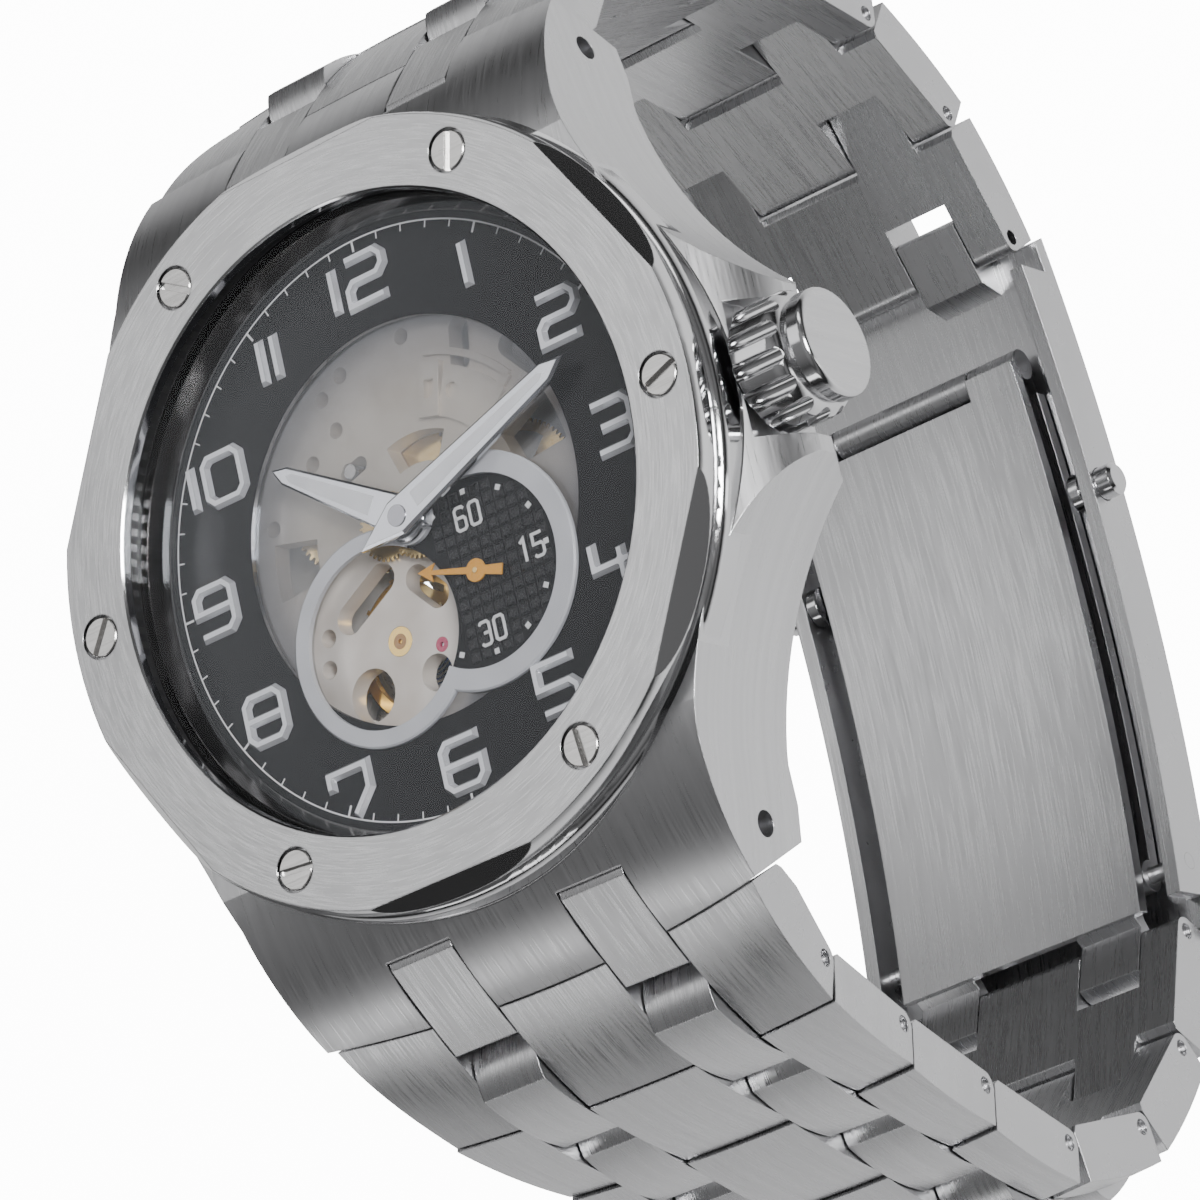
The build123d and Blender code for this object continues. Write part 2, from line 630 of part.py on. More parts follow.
with BuildPart() as hour_hand:
    with BuildSketch(hand_plane(HOUR_ANGLE, HOUR_HAND_BOTTOM)):
        Polygon(*pointer(-1.9, (0.6, 1.1), (8.6, 0.5), 9.6), align=None)
        Circle(1.35)
    extrude(amount=0.32)
    chamfer(hour_hand.faces().sort_by(Axis.Z)[-1].edges(), 0.12)
    with BuildSketch(Plane.XY.offset(HOUR_HAND_BOTTOM)):
        Circle(HOUR_PIPE_RADIUS)
    extrude(amount=1, mode=Mode.SUBTRACT)
hour_hand.part.label = "hour_hand"
export_step(hour_hand.part, "parts/hour_hand.step")

with BuildPart() as minute_hand:
    with BuildSketch(hand_plane(MINUTE_ANGLE, MINUTE_HAND_BOTTOM)):
        Polygon(*pointer(-3.0, (-0.2, 1.05), (11.6, 0.62), 12.9), align=None)
    extrude(amount=0.36)
    chamfer(minute_hand.faces().sort_by(Axis.Z)[-1].edges(), 0.14)
    with BuildSketch(Plane.XY.offset(MINUTE_HAND_BOTTOM)):
        Circle(CANNON_PIPE_RADIUS)
    extrude(amount=1, mode=Mode.SUBTRACT)
minute_hand.part.label = "minute_hand"
export_step(minute_hand.part, "parts/minute_hand.step")

with BuildPart() as small_seconds_hand:
    with BuildSketch(hand_plane(SECONDS_ANGLE, SECONDS_HAND_BOTTOM, SECONDS_CENTRE)):
        Circle(0.62)
        Polygon(
            (-1.72, -0.3), (-1.72, 0.3), (0, 0.2), (2.9, 0.12), (2.75, 0.5), (3.8, 0),
            (2.75, -0.5), (2.9, -0.12), (0, -0.2),
            align=None,
        )
        Circle(FOURTH_ARBOR_RADIUS, mode=Mode.SUBTRACT)
    extrude(amount=0.1)
small_seconds_hand.part.label = "small_seconds_hand"
export_step(small_seconds_hand.part, "parts/small_seconds_hand.step")

# ---------------------------------------------------------------- movement
# Places of the arbors, all in plan
CENTRE = (0.0, 0.0)
THIRD = towards(CENTRE, (4.675, 0.057), 4.675)
FOURTH = SECONDS_CENTRE
ESCAPE = towards(FOURTH, (1.625, -7.634), 3.85)
PALLET = towards(ESCAPE, BALANCE_CENTRE, 2.55)
BARREL = polar(6.24, 133)
MINUTE = polar(2.4, 165)

# Phase angles that bring every pair of wheels into mesh
THIRD_PINION_PHASE = meshed(CENTRE, THIRD, 75, 10)
FOURTH_PINION_PHASE = meshed(THIRD, FOURTH, 80, 10)
ESCAPE_PINION_PHASE = meshed(FOURTH, ESCAPE, 70, 7)
CENTRE_PINION_PHASE = meshed(BARREL, CENTRE, 84, 12)
MINUTE_WHEEL_PHASE = meshed(CENTRE, MINUTE, 12, 36)
HOUR_WHEEL_PHASE = meshed(MINUTE, CENTRE, 10, 40)

# Jewel holes: place, radius of the jewel and of its hole
PLATE_JEWELS = (
    (CENTRE, 0.62, CENTRE_ARBOR_RADIUS + RUNNING),
    (THIRD, 0.5, PIVOT_HOLE),
    (FOURTH, 0.5, FOURTH_ARBOR_RADIUS + RUNNING),
    (ESCAPE, 0.45, PIVOT_HOLE),
    (PALLET, 0.4, PIVOT_HOLE),
    (BALANCE_CENTRE, 0.8, PIVOT_HOLE),
)
BRIDGE_JEWELS = (
    (CENTRE, 0.5, 0.15 + RUNNING),
    (THIRD, 0.45, PIVOT_HOLE),
    (FOURTH, 0.45, PIVOT_HOLE),
    (ESCAPE, 0.4, PIVOT_HOLE),
    (BALANCE_CENTRE, 0.7, PIVOT_HOLE),
)


def ring_sector(inner, outer, start, end):
    """Corners and arcs of a sector of a ring, drawn into the line being built."""
    middle = (start + end) / 2
    ThreePointArc(polar(outer, start), polar(outer, middle), polar(outer, end))
    Line(polar(outer, end), polar(inner, end))
    ThreePointArc(polar(inner, end), polar(inner, middle), polar(inner, start))
    Line(polar(inner, start), polar(outer, start))


with BuildPart() as main_plate:
    with BuildSketch(Plane.XY.offset(PLATE_BOTTOM)):
        Circle(PLATE_RADIUS)
        for place, radius, _ in PLATE_JEWELS:
            with Locations(place):
                Circle(radius + 0.01, mode=Mode.SUBTRACT)
        with Locations(BARREL):
            Circle(BARREL_POST_RADIUS + RUNNING, mode=Mode.SUBTRACT)
        # steady-pin and screw holes
        with Locations((-4.5, 7.0), (-6.45, 5.8), (-3.5, 9.8), (-5.0, 8.95), (-9.85, 3.35), (0.9, 10.3)):
            Circle(0.45, mode=Mode.SUBTRACT)
        # openings cut for lightness
        with Locations(Location((4.45, 8.45, 0), 80)):
            SlotOverall(3.0, 1.3, mode=Mode.SUBTRACT)
        with Locations(Location((8.2, 6.3, 0), 130)):
            SlotOverall(3.6, 1.3, mode=Mode.SUBTRACT)
        with Locations(Location((-3.9, 4.5, 0), 15)):
            SlotOverall(1.9, 0.9, mode=Mode.SUBTRACT)
        with BuildLine():
            ring_sector(3.3, 5.0, 62, 108)
        make_face(mode=Mode.SUBTRACT)
        with BuildLine():
            ring_sector(6.4, 9.8, 6, 26)
        make_face(mode=Mode.SUBTRACT)
        with BuildLine():
            ring_sector(7.4, 10.3, 166, 184)
        make_face(mode=Mode.SUBTRACT)
        # openings over the balance wheel
        with Locations(BALANCE_CENTRE):
            with Locations(polar(3.25, -138)):
                Circle(1.45, mode=Mode.SUBTRACT)
            with Locations(polar(3.1, -52)):
                Circle(1.0, mode=Mode.SUBTRACT)
            with Locations(Location((*polar(3.4, 118), 0), 28)):
                SlotOverall(4.6, 1.7, mode=Mode.SUBTRACT)
            with Locations(Location((*polar(3.3, 42), 0), -50)):
                SlotOverall(3.2, 1.5, mode=Mode.SUBTRACT)
            with Locations(polar(4.85, 158), polar(4.85, 178)):
                Circle(0.5, mode=Mode.SUBTRACT)
        # room for the stem
        with Locations(STEM_SLOT):
            Rectangle(*STEM_SLOT_SIZE, mode=Mode.SUBTRACT)
    extrude(amount=PLATE_TOP - PLATE_BOTTOM)
    # post of the minute wheel
    with BuildSketch(Plane.XY.offset(PLATE_TOP)):
        with Locations(MINUTE):
            Circle(MINUTE_POST_RADIUS)
    extrude(amount=0.75)
main_plate.part.label = "main_plate"
export_step(main_plate.part, "parts/main_plate.step")

with BuildPart() as setting_cover:
    # fan-shaped cover of the hand-setting levers, with its spring blade and a stepped block
    with BuildSketch(Plane.XY.offset(PLATE_TOP)):
        with BuildLine():
            ring_sector(5.6, 8.4, 36, 66)
        make_face()
        with Locations((3.5, 6.15)):
            Circle(0.42, mode=Mode.SUBTRACT)
        with BuildLine():
            ring_sector(8.9, 9.3, 38, 76)
        make_face()
        with Locations(Location((*polar(8.65, 38.5), 0), 38.5)):
            Rectangle(0.9, 0.5)
    extrude(amount=0.25)
    with BuildSketch(Plane.XY.offset(PLATE_TOP)):
        with Locations(Location((2.2, 6.7, 0), -15)):
            Rectangle(1.3, 3.0)
            Rectangle(0.6, 1.0, mode=Mode.SUBTRACT)
    extrude(amount=0.42)
setting_cover.part.label = "setting_cover"
export_step(setting_cover.part, "parts/setting_cover.step")

with BuildPart() as bearing_jewels:
    for place, radius, hole in PLATE_JEWELS:
        with BuildSketch(Plane.XY.offset(PLATE_TOP - JEWEL_THICKNESS)):
            with Locations(place):
                Circle(radius)
                Circle(hole, mode=Mode.SUBTRACT)
        extrude(amount=JEWEL_THICKNESS)
    for place, radius, hole in BRIDGE_JEWELS:
        with BuildSketch(Plane.XY.offset(BRIDGE_BOTTOM)):
            with Locations(place):
                Circle(radius)
                Circle(hole, mode=Mode.SUBTRACT)
        extrude(amount=JEWEL_THICKNESS)
bearing_jewels.part.label = "bearing_jewels"
export_step(bearing_jewels.part, "parts/bearing_jewels.step")

with BuildPart() as movement_ring:
    with BuildSketch(Plane.XY.offset(CASE_BOTTOM + 0.4)):
        Circle(CASE_BORE - 0.05)
        Circle(PLATE_RADIUS + 0.05, mode=Mode.SUBTRACT)
    extrude(amount=-DIAL_THICKNESS - CASE_BOTTOM - 0.4)
    with BuildSketch(Plane.YZ.offset(PLATE_RADIUS - 1)):
        with Locations((0, CROWN_HEIGHT)):
            Circle(STEM_RADIUS + 0.1)
    extrude(amount=8, mode=Mode.SUBTRACT)
movement_ring.part.label = "movement_ring"
export_step(movement_ring.part, "parts/movement_ring.step")


def turned(place, radius, bottom, top):
    """A round length of an arbor, added to the part being built."""
    with Locations((*place, bottom)):
        Cylinder(radius, top - bottom, align=(Align.CENTER, Align.CENTER, Align.MIN))


def toothed(place, outline, bottom, top, spokes=None):
    """A toothed wheel or pinion, with openings between its spokes if it has any."""
    with BuildPart() as wheel:
        with BuildSketch(Plane(origin=(*place, bottom))):
            Polygon(*outline, align=None)
            if spokes:
                count, inner, outer = spokes
                reach = 180 / count - 9
                with BuildLine():
                    ring_sector(inner, outer, -reach, reach)
                opening = make_face(mode=Mode.PRIVATE)
                with PolarLocations(0, count):
                    add(opening, mode=Mode.SUBTRACT)
        extrude(amount=top - bottom)
    return wheel.part


with BuildPart() as centre_wheel:
    add(toothed(CENTRE, gear(75, 0.11), -3.75, -3.6, spokes=(5, 1.1, 3.4)))
    turned(CENTRE, CENTRE_ARBOR_RADIUS, ARBOR_BOTTOM, 1.15)
    turned(CENTRE, 0.15, PIVOT_BOTTOM, ARBOR_BOTTOM)
    turned(CENTRE, 0.7, -3.75, -3.5)
    add(toothed(CENTRE, gear(12, 0.13, CENTRE_PINION_PHASE), -2.95, -2.56))
centre_wheel.part.label = "centre_wheel"
export_step(centre_wheel.part, "parts/centre_wheel.step")

with BuildPart() as third_wheel:
    add(toothed(THIRD, gear(80, 0.1), -3.35, -3.2, spokes=(5, 1.0, 3.4)))
    turned(THIRD, 0.2, ARBOR_BOTTOM, ARBOR_TOP)
    turned(THIRD, PIVOT_RADIUS, PIVOT_BOTTOM, PIVOT_TOP)
    add(toothed(THIRD, gear(10, 0.11, THIRD_PINION_PHASE), -3.9, -3.45))
third_wheel.part.label = "third_wheel"
export_step(third_wheel.part, "parts/third_wheel.step")

with BuildPart() as fourth_wheel:
    add(toothed(FOURTH, gear(70, 0.1), -4.15, -4.0, spokes=(5, 0.9, 2.9)))
    turned(FOURTH, FOURTH_ARBOR_RADIUS, ARBOR_BOTTOM, 0.5)
    turned(FOURTH, PIVOT_RADIUS, PIVOT_BOTTOM, ARBOR_BOTTOM)
    turned(FOURTH, 0.45, -4.15, -3.8)
    add(toothed(FOURTH, gear(10, 0.1, FOURTH_PINION_PHASE), -3.5, -2.95))
fourth_wheel.part.label = "fourth_wheel"
export_step(fourth_wheel.part, "parts/fourth_wheel.step")

with BuildPart() as escape_wheel:
    # club teeth that lean towards the direction of turning
    tooth = ((1.35, 0), (1.88, 6), (1.9, 10), (1.4, 7), (1.35, 12))
    outline = [polar(r, 24 * k + a) for k in range(15) for r, a in tooth]
    add(toothed(ESCAPE, outline, -2.8, -2.65, spokes=(4, 0.45, 1.1)))
    turned(ESCAPE, 0.15, ARBOR_BOTTOM, ARBOR_TOP)
    turned(ESCAPE, PIVOT_RADIUS, PIVOT_BOTTOM, PIVOT_TOP)
    add(toothed(ESCAPE, gear(7, 0.1, ESCAPE_PINION_PHASE), -4.25, -3.95))
escape_wheel.part.label = "escape_wheel"
export_step(escape_wheel.part, "parts/escape_wheel.step")

with BuildPart() as pallet_fork:
    fork_frame = Plane(
        origin=(*PALLET, -2.8), x_dir=(*polar(1, bearing(ESCAPE, BALANCE_CENTRE)), 0)
    )
    with BuildSketch(fork_frame):
        Circle(0.4)
        # lever with its notch, towards the balance
        Polygon((0, 0.16), (1.75, 0.12), (1.85, 0.3), (2.15, 0.3), (2.15, 0.12), (1.95, 0),
                (2.15, -0.12), (2.15, -0.3), (1.85, -0.3), (1.75, -0.12), (0, -0.16), align=None)
        # arms with the two pallets, towards the escape wheel
        for side in (1, -1):
            Polygon((0, 0.25 * side), (-0.2, 1.55 * side), (-0.75, 1.6 * side), (-0.8, 1.32 * side),
                    (-0.45, 1.25 * side), (-0.35, 0), align=None)
    extrude(amount=0.15)
    turned(PALLET, PIVOT_RADIUS, -2.85, PIVOT_TOP)
pallet_fork.part.label = "pallet_fork"
export_step(pallet_fork.part, "parts/pallet_fork.step")

with BuildPart() as balance_wheel:
    with BuildSketch(Plane.XY.offset(-3.5)):
        with Locations(BALANCE_CENTRE):
            Circle(BALANCE_RIM[1])
            Circle(BALANCE_RIM[0], mode=Mode.SUBTRACT)
            with PolarLocations(0, 3):
                with Locations((1.8, 0)):
                    Rectangle(3.6, 0.5)
            Circle(0.6)
    extrude(amount=0.4)
    chamfer(balance_wheel.edges().filter_by(GeomType.CIRCLE).sort_by(SortBy.RADIUS)[-2:], 0.1)
    # poising screws round the rim
    with BuildSketch(Plane.XY.offset(-3.42)):
        with Locations(BALANCE_CENTRE):
            with PolarLocations(4.05, 12, start_angle=15):
                Rectangle(0.5, 0.26)
    extrude(amount=0.24)
    turned(BALANCE_CENTRE, 0.15, ARBOR_BOTTOM, ARBOR_TOP)
    turned(BALANCE_CENTRE, PIVOT_RADIUS, PIVOT_BOTTOM, PIVOT_TOP)
    turned(BALANCE_CENTRE, 0.4, -4.05, -3.8)
    turned(BALANCE_CENTRE, 0.5, -3.1, -2.65)
balance_wheel.part.label = "balance_wheel"
export_step(balance_wheel.part, "parts/balance_wheel.step")


def spiral(place, inner, pitch, half_turns):
    """Centre line of a flat spiral of semicircles, drawn into the line being built."""
    x, y = place
    reach = inner
    side = 1
    for _ in range(half_turns):
        start = x + side * reach
        end = x - side * (reach + pitch / 2)
        top = (start - end) / 2
        ThreePointArc((start, y), ((start + end) / 2, y + top), (end, y))
        reach += pitch / 2
        side = -side


with BuildPart() as hairspring:
    with BuildSketch(Plane.XY.offset(-4.0)):
        with BuildLine():
            spiral(BALANCE_CENTRE, 0.55, 0.26, 14)
        trace(line_width=0.06)
    extrude(amount=0.15)
hairspring.part.label = "hairspring"
export_step(hairspring.part, "parts/hairspring.step")

with BuildPart() as barrel:
    add(toothed(BARREL, gear(84, 0.13), -2.95, -2.6))
    turned(BARREL, 5.0, -3.45, -2.95)
    with BuildSketch(Plane.XY.offset(-3.45)):
        with Locations(BARREL):
            Circle(4.75)
    extrude(amount=0.65, mode=Mode.SUBTRACT)
    with BuildSketch(Plane.XY.offset(-3)):
        with Locations(BARREL):
            Circle(0.63)
    extrude(amount=1, mode=Mode.SUBTRACT)
barrel.part.label = "barrel"
export_step(barrel.part, "parts/barrel.step")

with BuildPart() as mainspring:
    with BuildSketch(Plane.XY.offset(-3.4)):
        with BuildLine():
            spiral(BARREL, 1.3, 0.5, 13)
        trace(line_width=0.18)
    extrude(amount=0.55)
mainspring.part.label = "mainspring"
export_step(mainspring.part, "parts/mainspring.step")

with BuildPart() as barrel_arbor:
    turned(BARREL, 0.6, ARBOR_BOTTOM, -2.55)
    turned(BARREL, BARREL_POST_RADIUS, -5.25, PIVOT_TOP)
barrel_arbor.part.label = "barrel_arbor"
export_step(barrel_arbor.part, "parts/barrel_arbor.step")

with BuildPart() as cannon_pinion:
    add(toothed(CENTRE, gear(12, 0.1), -1.2, -0.95))
    turned(CENTRE, 0.48, -1.2, -0.95)
    turned(CENTRE, CANNON_PIPE_RADIUS, -0.95, 1.32)
    with BuildSketch(Plane.XY.offset(-1.3)):
        Circle(CENTRE_ARBOR_RADIUS + RUNNING)
    extrude(amount=2.5, mode=Mode.SUBTRACT)
cannon_pinion.part.label = "cannon_pinion"
export_step(cannon_pinion.part, "parts/cannon_pinion.step")

with BuildPart() as minute_wheel:
    add(toothed(MINUTE, gear(36, 0.1, MINUTE_WHEEL_PHASE), -1.15, -1.0))
    add(toothed(MINUTE, gear(10, 0.096), -1.0, -0.6))
    with BuildSketch(Plane.XY.offset(-1.2)):
        with Locations(MINUTE):
            Circle(MINUTE_POST_RADIUS + RUNNING)
    extrude(amount=1, mode=Mode.SUBTRACT)
minute_wheel.part.label = "minute_wheel"
export_step(minute_wheel.part, "parts/minute_wheel.step")

with BuildPart() as hour_wheel:
    add(toothed(CENTRE, gear(40, 0.096, HOUR_WHEEL_PHASE), -0.85, -0.65))
    turned(CENTRE, HOUR_PIPE_RADIUS, -0.65, 0.82)
    with BuildSketch(Plane.XY.offset(-1)):
        Circle(CANNON_PIPE_RADIUS + 0.04)
    extrude(amount=3, mode=Mode.SUBTRACT)
hour_wheel.part.label = "hour_wheel"
export_step(hour_wheel.part, "parts/hour_wheel.step")

with BuildPart() as train_bridge:
    with BuildSketch(Plane.XY.offset(BRIDGE_BOTTOM)):
        Circle(PLATE_RADIUS - 0.05)
        with Locations(BALANCE_CENTRE):
            Circle(4.75, mode=Mode.SUBTRACT)
        with Locations(polar(10.6, bearing(CENTRE, BALANCE_CENTRE))):
            Circle(3.7, mode=Mode.SUBTRACT)
        for place, radius, _ in BRIDGE_JEWELS[:-1]:
            with Locations(place):
                Circle(radius + 0.01, mode=Mode.SUBTRACT)
        with Locations(BARREL):
            Circle(BARREL_POST_RADIUS + RUNNING, mode=Mode.SUBTRACT)
    extrude(amount=BRIDGE_TOP - BRIDGE_BOTTOM)
    # wall that stands on the main plate
    with BuildSketch(Plane.XY.offset(BRIDGE_TOP)):
        with BuildLine():
            ring_sector(12.1, PLATE_RADIUS - 0.05, -70, 195)
        make_face()
        with Locations(STEM_SLOT):
            Rectangle(*STEM_SLOT_SIZE, mode=Mode.SUBTRACT)
    extrude(amount=PLATE_BOTTOM - BRIDGE_TOP)
    # post of the rotor
    with BuildSketch(Plane.XY.offset(BRIDGE_BOTTOM)):
        Circle(1.4)
        Circle(0.5, mode=Mode.SUBTRACT)
    extrude(amount=-0.12)
    with BuildSketch(Plane.XY.offset(BRIDGE_BOTTOM)):
        Circle(1.0)
        Circle(0.51, mode=Mode.SUBTRACT)
    extrude(amount=-0.7)
train_bridge.part.label = "train_bridge"
export_step(train_bridge.part, "parts/train_bridge.step")

with BuildPart() as balance_cock:
    cock_frame = Plane(
        origin=(*BALANCE_CENTRE, BRIDGE_BOTTOM),
        x_dir=(*polar(1, bearing(CENTRE, BALANCE_CENTRE)), 0),
    )
    with BuildSketch(cock_frame):
        Circle(1.35)
        with Locations((3.0, 0)):
            Rectangle(6.2, 1.9)
        with Locations((5.2, 0)):
            Rectangle(1.7, 3.4)
        Circle(0.71, mode=Mode.SUBTRACT)
    extrude(amount=0.9)
    with BuildSketch(cock_frame.offset(0.9)):
        with Locations((5.2, 0)):
            Rectangle(1.6, 3.2)
    extrude(amount=PLATE_BOTTOM - BRIDGE_BOTTOM - 0.9)
balance_cock.part.label = "balance_cock"
export_step(balance_cock.part, "parts/balance_cock.step")

with BuildPart() as rotor:
    with BuildSketch(Plane.XY.offset(-5.75)):
        with BuildLine():
            ring_sector(3.0, ROTOR_EDGE, *ROTOR_SECTOR)
        make_face()
        for start in (165, 195, 225, 255, 285):
            with BuildLine():
                ring_sector(3.9, 8.6, start, start + 21)
            make_face(mode=Mode.SUBTRACT)
        Circle(3.2)
        Circle(1.03, mode=Mode.SUBTRACT)
    extrude(amount=0.3)
    with BuildSketch(Plane.XY.offset(-6.3)):
        with BuildLine():
            ring_sector(9.2, ROTOR_EDGE, *ROTOR_SECTOR)
        make_face()
    extrude(amount=0.6)
rotor.part.label = "rotor"
export_step(rotor.part, "parts/rotor.step")

# ---------------------------------------------------------------- bracelet
LINK_PINS = [LUG_PIN]
for slope in LINK_SLOPES:
    LINK_PINS.append(spot(LINK_PINS[-1], slope, LINK_PITCH, 0))

SLOTS = (SLOT_INNER, -SLOT_INNER - SLOT_WIDTH)  # the sides of the two slots that face -X
TONGUES = (SLOT_INNER + TONGUE_GAP, -SLOT_INNER - SLOT_WIDTH + TONGUE_GAP)
TONGUE_WIDTH = SLOT_WIDTH - 2 * TONGUE_GAP
CROWN_HEIGHT_MIDDLE = LINK_OUTSIDE + 0.25  # outer face above the pins, half way along a link


def slab(corners, starts, width):
    """Side profiles extruded to a width in the +X direction, one from each start."""
    with BuildPart() as slabs:
        with BuildSketch(*[Plane.YZ.offset(x) for x in starts]):
            Polygon(*corners, align=None)
        extrude(amount=width)
    return slabs.part


def rod(pin, radius, half_length):
    """A round bar across the bracelet."""
    with BuildPart() as bar:
        with BuildSketch(Plane.YZ):
            with Locations(pin):
                Circle(radius)
        extrude(amount=half_length, both=True)
    return bar.part


def plan_taper(pin, slope, number):
    """A prism that holds one link between its tapering sides."""
    front, rear = LINK_HALF_WIDTHS[number - 1], LINK_HALF_WIDTHS[number]
    spread = (rear - front) / LINK_PITCH
    near = front - 7 * spread
    far = front + 13 * spread
    along = Plane(
        origin=(0, *pin), x_dir=(1, 0, 0), z_dir=(0, sin(radians(slope)), cos(radians(slope)))
    )
    with BuildPart() as prism:
        with BuildSketch(along):
            Polygon((-near, -6), (near, -6), (far, 14), (-far, 14), align=None)
        extrude(amount=12, both=True)
    return prism.part


def crowned(pin, slope):
    """A disc with a crowned rim, whose rim is the outer face of a link."""
    axis_point = spot(pin, slope, LINK_PITCH / 2, CROWN_HEIGHT_MIDDLE - LINK_ARCH)
    a = radians(slope)
    across = Plane(origin=(0, *axis_point), x_dir=(1, 0, 0), z_dir=(0, -cos(a), sin(a)))
    sag = 16**2 / (2 * LINK_CROWN)
    with BuildPart() as disc:
        with BuildSketch(across):
            with BuildLine():
                ThreePointArc((-16, LINK_ARCH - sag), (0, LINK_ARCH), (16, LINK_ARCH - sag))
                Polyline((16, LINK_ARCH - sag), (16, 0), (-16, 0), (-16, LINK_ARCH - sag))
            make_face()
        revolve(axis=Axis((0, *axis_point), (1, 0, 0)))
    return disc.part


def link_block(number):
    """Full-width block of one link, before its slots are cut."""
    pin, slope = LINK_PINS[number - 1], LINK_SLOPES[number - 1]
    rear_slope = LINK_SLOPES[1] if number == 1 else slope
    rear_pin = LINK_PINS[number]
    with BuildPart() as block:
        with BuildSketch(Plane.YZ):
            with BuildLine():
                if number == 1:
                    start = (22.0, 2.0)
                    inner = (23.5, -6.0)
                    front_foot = spot(pin, slope, 4.3, -LINK_INSIDE)
                else:
                    start = spot(pin, slope, SEAM + SEAM_GAP, 4)
                    inner = spot(pin, slope, SEAM + SEAM_GAP, -0.5)
                    front_foot = spot(pin, slope, 1.3, -LINK_INSIDE)
                Polyline(start, inner, front_foot)
                rear_foot = spot(rear_pin, slope, 0, -LINK_INSIDE)
                rear_side = spot(rear_pin, rear_slope, SEAM, 0)
                turn = (slope + rear_slope) / 2
                rear_middle = spot(rear_pin, turn, SEAM * sqrt(0.5), -SEAM * sqrt(0.5))
                rear_top = spot(rear_pin, rear_slope, SEAM, 4)
                Line(front_foot, rear_foot)
                ThreePointArc(rear_foot, rear_middle, rear_side)
                Line(rear_side, rear_top)
                Line(rear_top, start)
            make_face()
        extrude(amount=15, both=True)
        add(plan_taper(pin, slope, number), mode=Mode.INTERSECT)
    return block.part


def first_face():
    """The first link's outer face: flush with the case, and crowned towards its rear."""
    rear = spot(LINK_PINS[1], LINK_SLOPES[1], SEAM, LINK_OUTSIDE)
    chord = (rear[0] - LUG_END[0], rear[1] - LUG_END[1])
    half_chord = sqrt(chord[0] ** 2 + chord[1] ** 2) / 2
    slope = -degrees(atan2(chord[1], chord[0]))
    half_turn = degrees(asin(half_chord / FIRST_LINK_ARCH))
    depth = sqrt(FIRST_LINK_ARCH**2 - half_chord**2)
    arch_centre = spot(LUG_END, slope, half_chord, -depth)
    sag = 15**2 / (2 * LINK_CROWN)
    with BuildPart() as face_block:
        for share in (-0.3, 0.0, 0.5, 1.0, 1.2):
            tangent = slope + (2 * share - 1) * half_turn
            point = spot(arch_centre, tangent, 0, FIRST_LINK_ARCH)
            a = radians(tangent)
            drop = sag * min(max(share, 0.02), 1)
            across = Plane(origin=(0, *point), x_dir=(1, 0, 0), z_dir=(0, cos(a), -sin(a)))
            with BuildSketch(across):
                with BuildLine():
                    ThreePointArc((-15, drop), (0, 0), (15, drop))
                    Polyline((15, drop), (15, 7), (-15, 7), (-15, drop))
                make_face()
        loft()
    return face_block.part


def lug_end_cutter():
    """Everything on the case's side of the gap between the lug end and the first link."""
    lean = radians(LUG_END_LEAN)
    end_plane = Plane(
        origin=(0, *LUG_END), x_dir=(1, 0, 0), z_dir=(0, sin(lean), cos(lean))
    )
    with BuildPart() as cutter:
        with BuildSketch(end_plane):
            with BuildLine():
                ThreePointArc((-16, SEAM_GAP - LUG_BOW), (0, SEAM_GAP), (16, SEAM_GAP - LUG_BOW))
                Polyline((16, SEAM_GAP - LUG_BOW), (16, -8), (-16, -8), (-16, SEAM_GAP - LUG_BOW))
            make_face()
        extrude(amount=12, both=True)
    return cutter.part


def link_tongues(number):
    """The two tongues that reach forward round the pin, into the piece before."""
    pin, slope = LINK_PINS[number - 1], LINK_SLOPES[number - 1]
    reach = TONGUE_REACH - 0.2 if number == 1 else TONGUE_REACH
    foot = sqrt(reach**2 - LINK_INSIDE**2)
    with BuildPart() as tongues:
        with BuildSketch(*[Plane.YZ.offset(x) for x in TONGUES]):
            with BuildLine():
                rear_foot = spot(pin, slope, -foot, -LINK_INSIDE)
                if number == 1:
                    rear_top = (22.4, -0.57)
                    rear_middle = spot(pin, slope, -reach * sqrt(0.75), reach * 0.5)
                    end_top = (26.75, -4.62)
                    top_middle = (24.5, -2.4)
                else:
                    rear_top = spot(pin, slope, -sqrt(reach**2 - 2.3**2), 2.3)
                    rear_middle = spot(pin, slope, -sqrt(reach**2 - 0.9**2), 0.9)
                    end_top = spot(pin, slope, 4.0, 2.3)
                    top_middle = spot(pin, slope, 0.8, 2.72)
                end_foot = spot(pin, slope, 4.2, BRIDGE_HEIGHT - 0.2)
                ThreePointArc(rear_foot, rear_middle, rear_top)
                ThreePointArc(rear_top, top_middle, end_top)
                Polyline(end_top, end_foot, spot(pin, slope, 4.2, -LINK_INSIDE), rear_foot)
            make_face()
        extrude(amount=TONGUE_WIDTH)
    return tongues.part


def rear_slot(number):
    """What has to stay free round a link's rear pin, for the next piece's tongues."""
    rear_pin, slope = LINK_PINS[number], LINK_SLOPES[number - 1]
    with BuildPart() as slot:
        with BuildSketch(*[Plane.YZ.offset(x) for x in SLOTS]):
            with Locations(rear_pin):
                Circle(TONGUE_REACH + 0.12)
        extrude(amount=SLOT_WIDTH)
    return slot.part


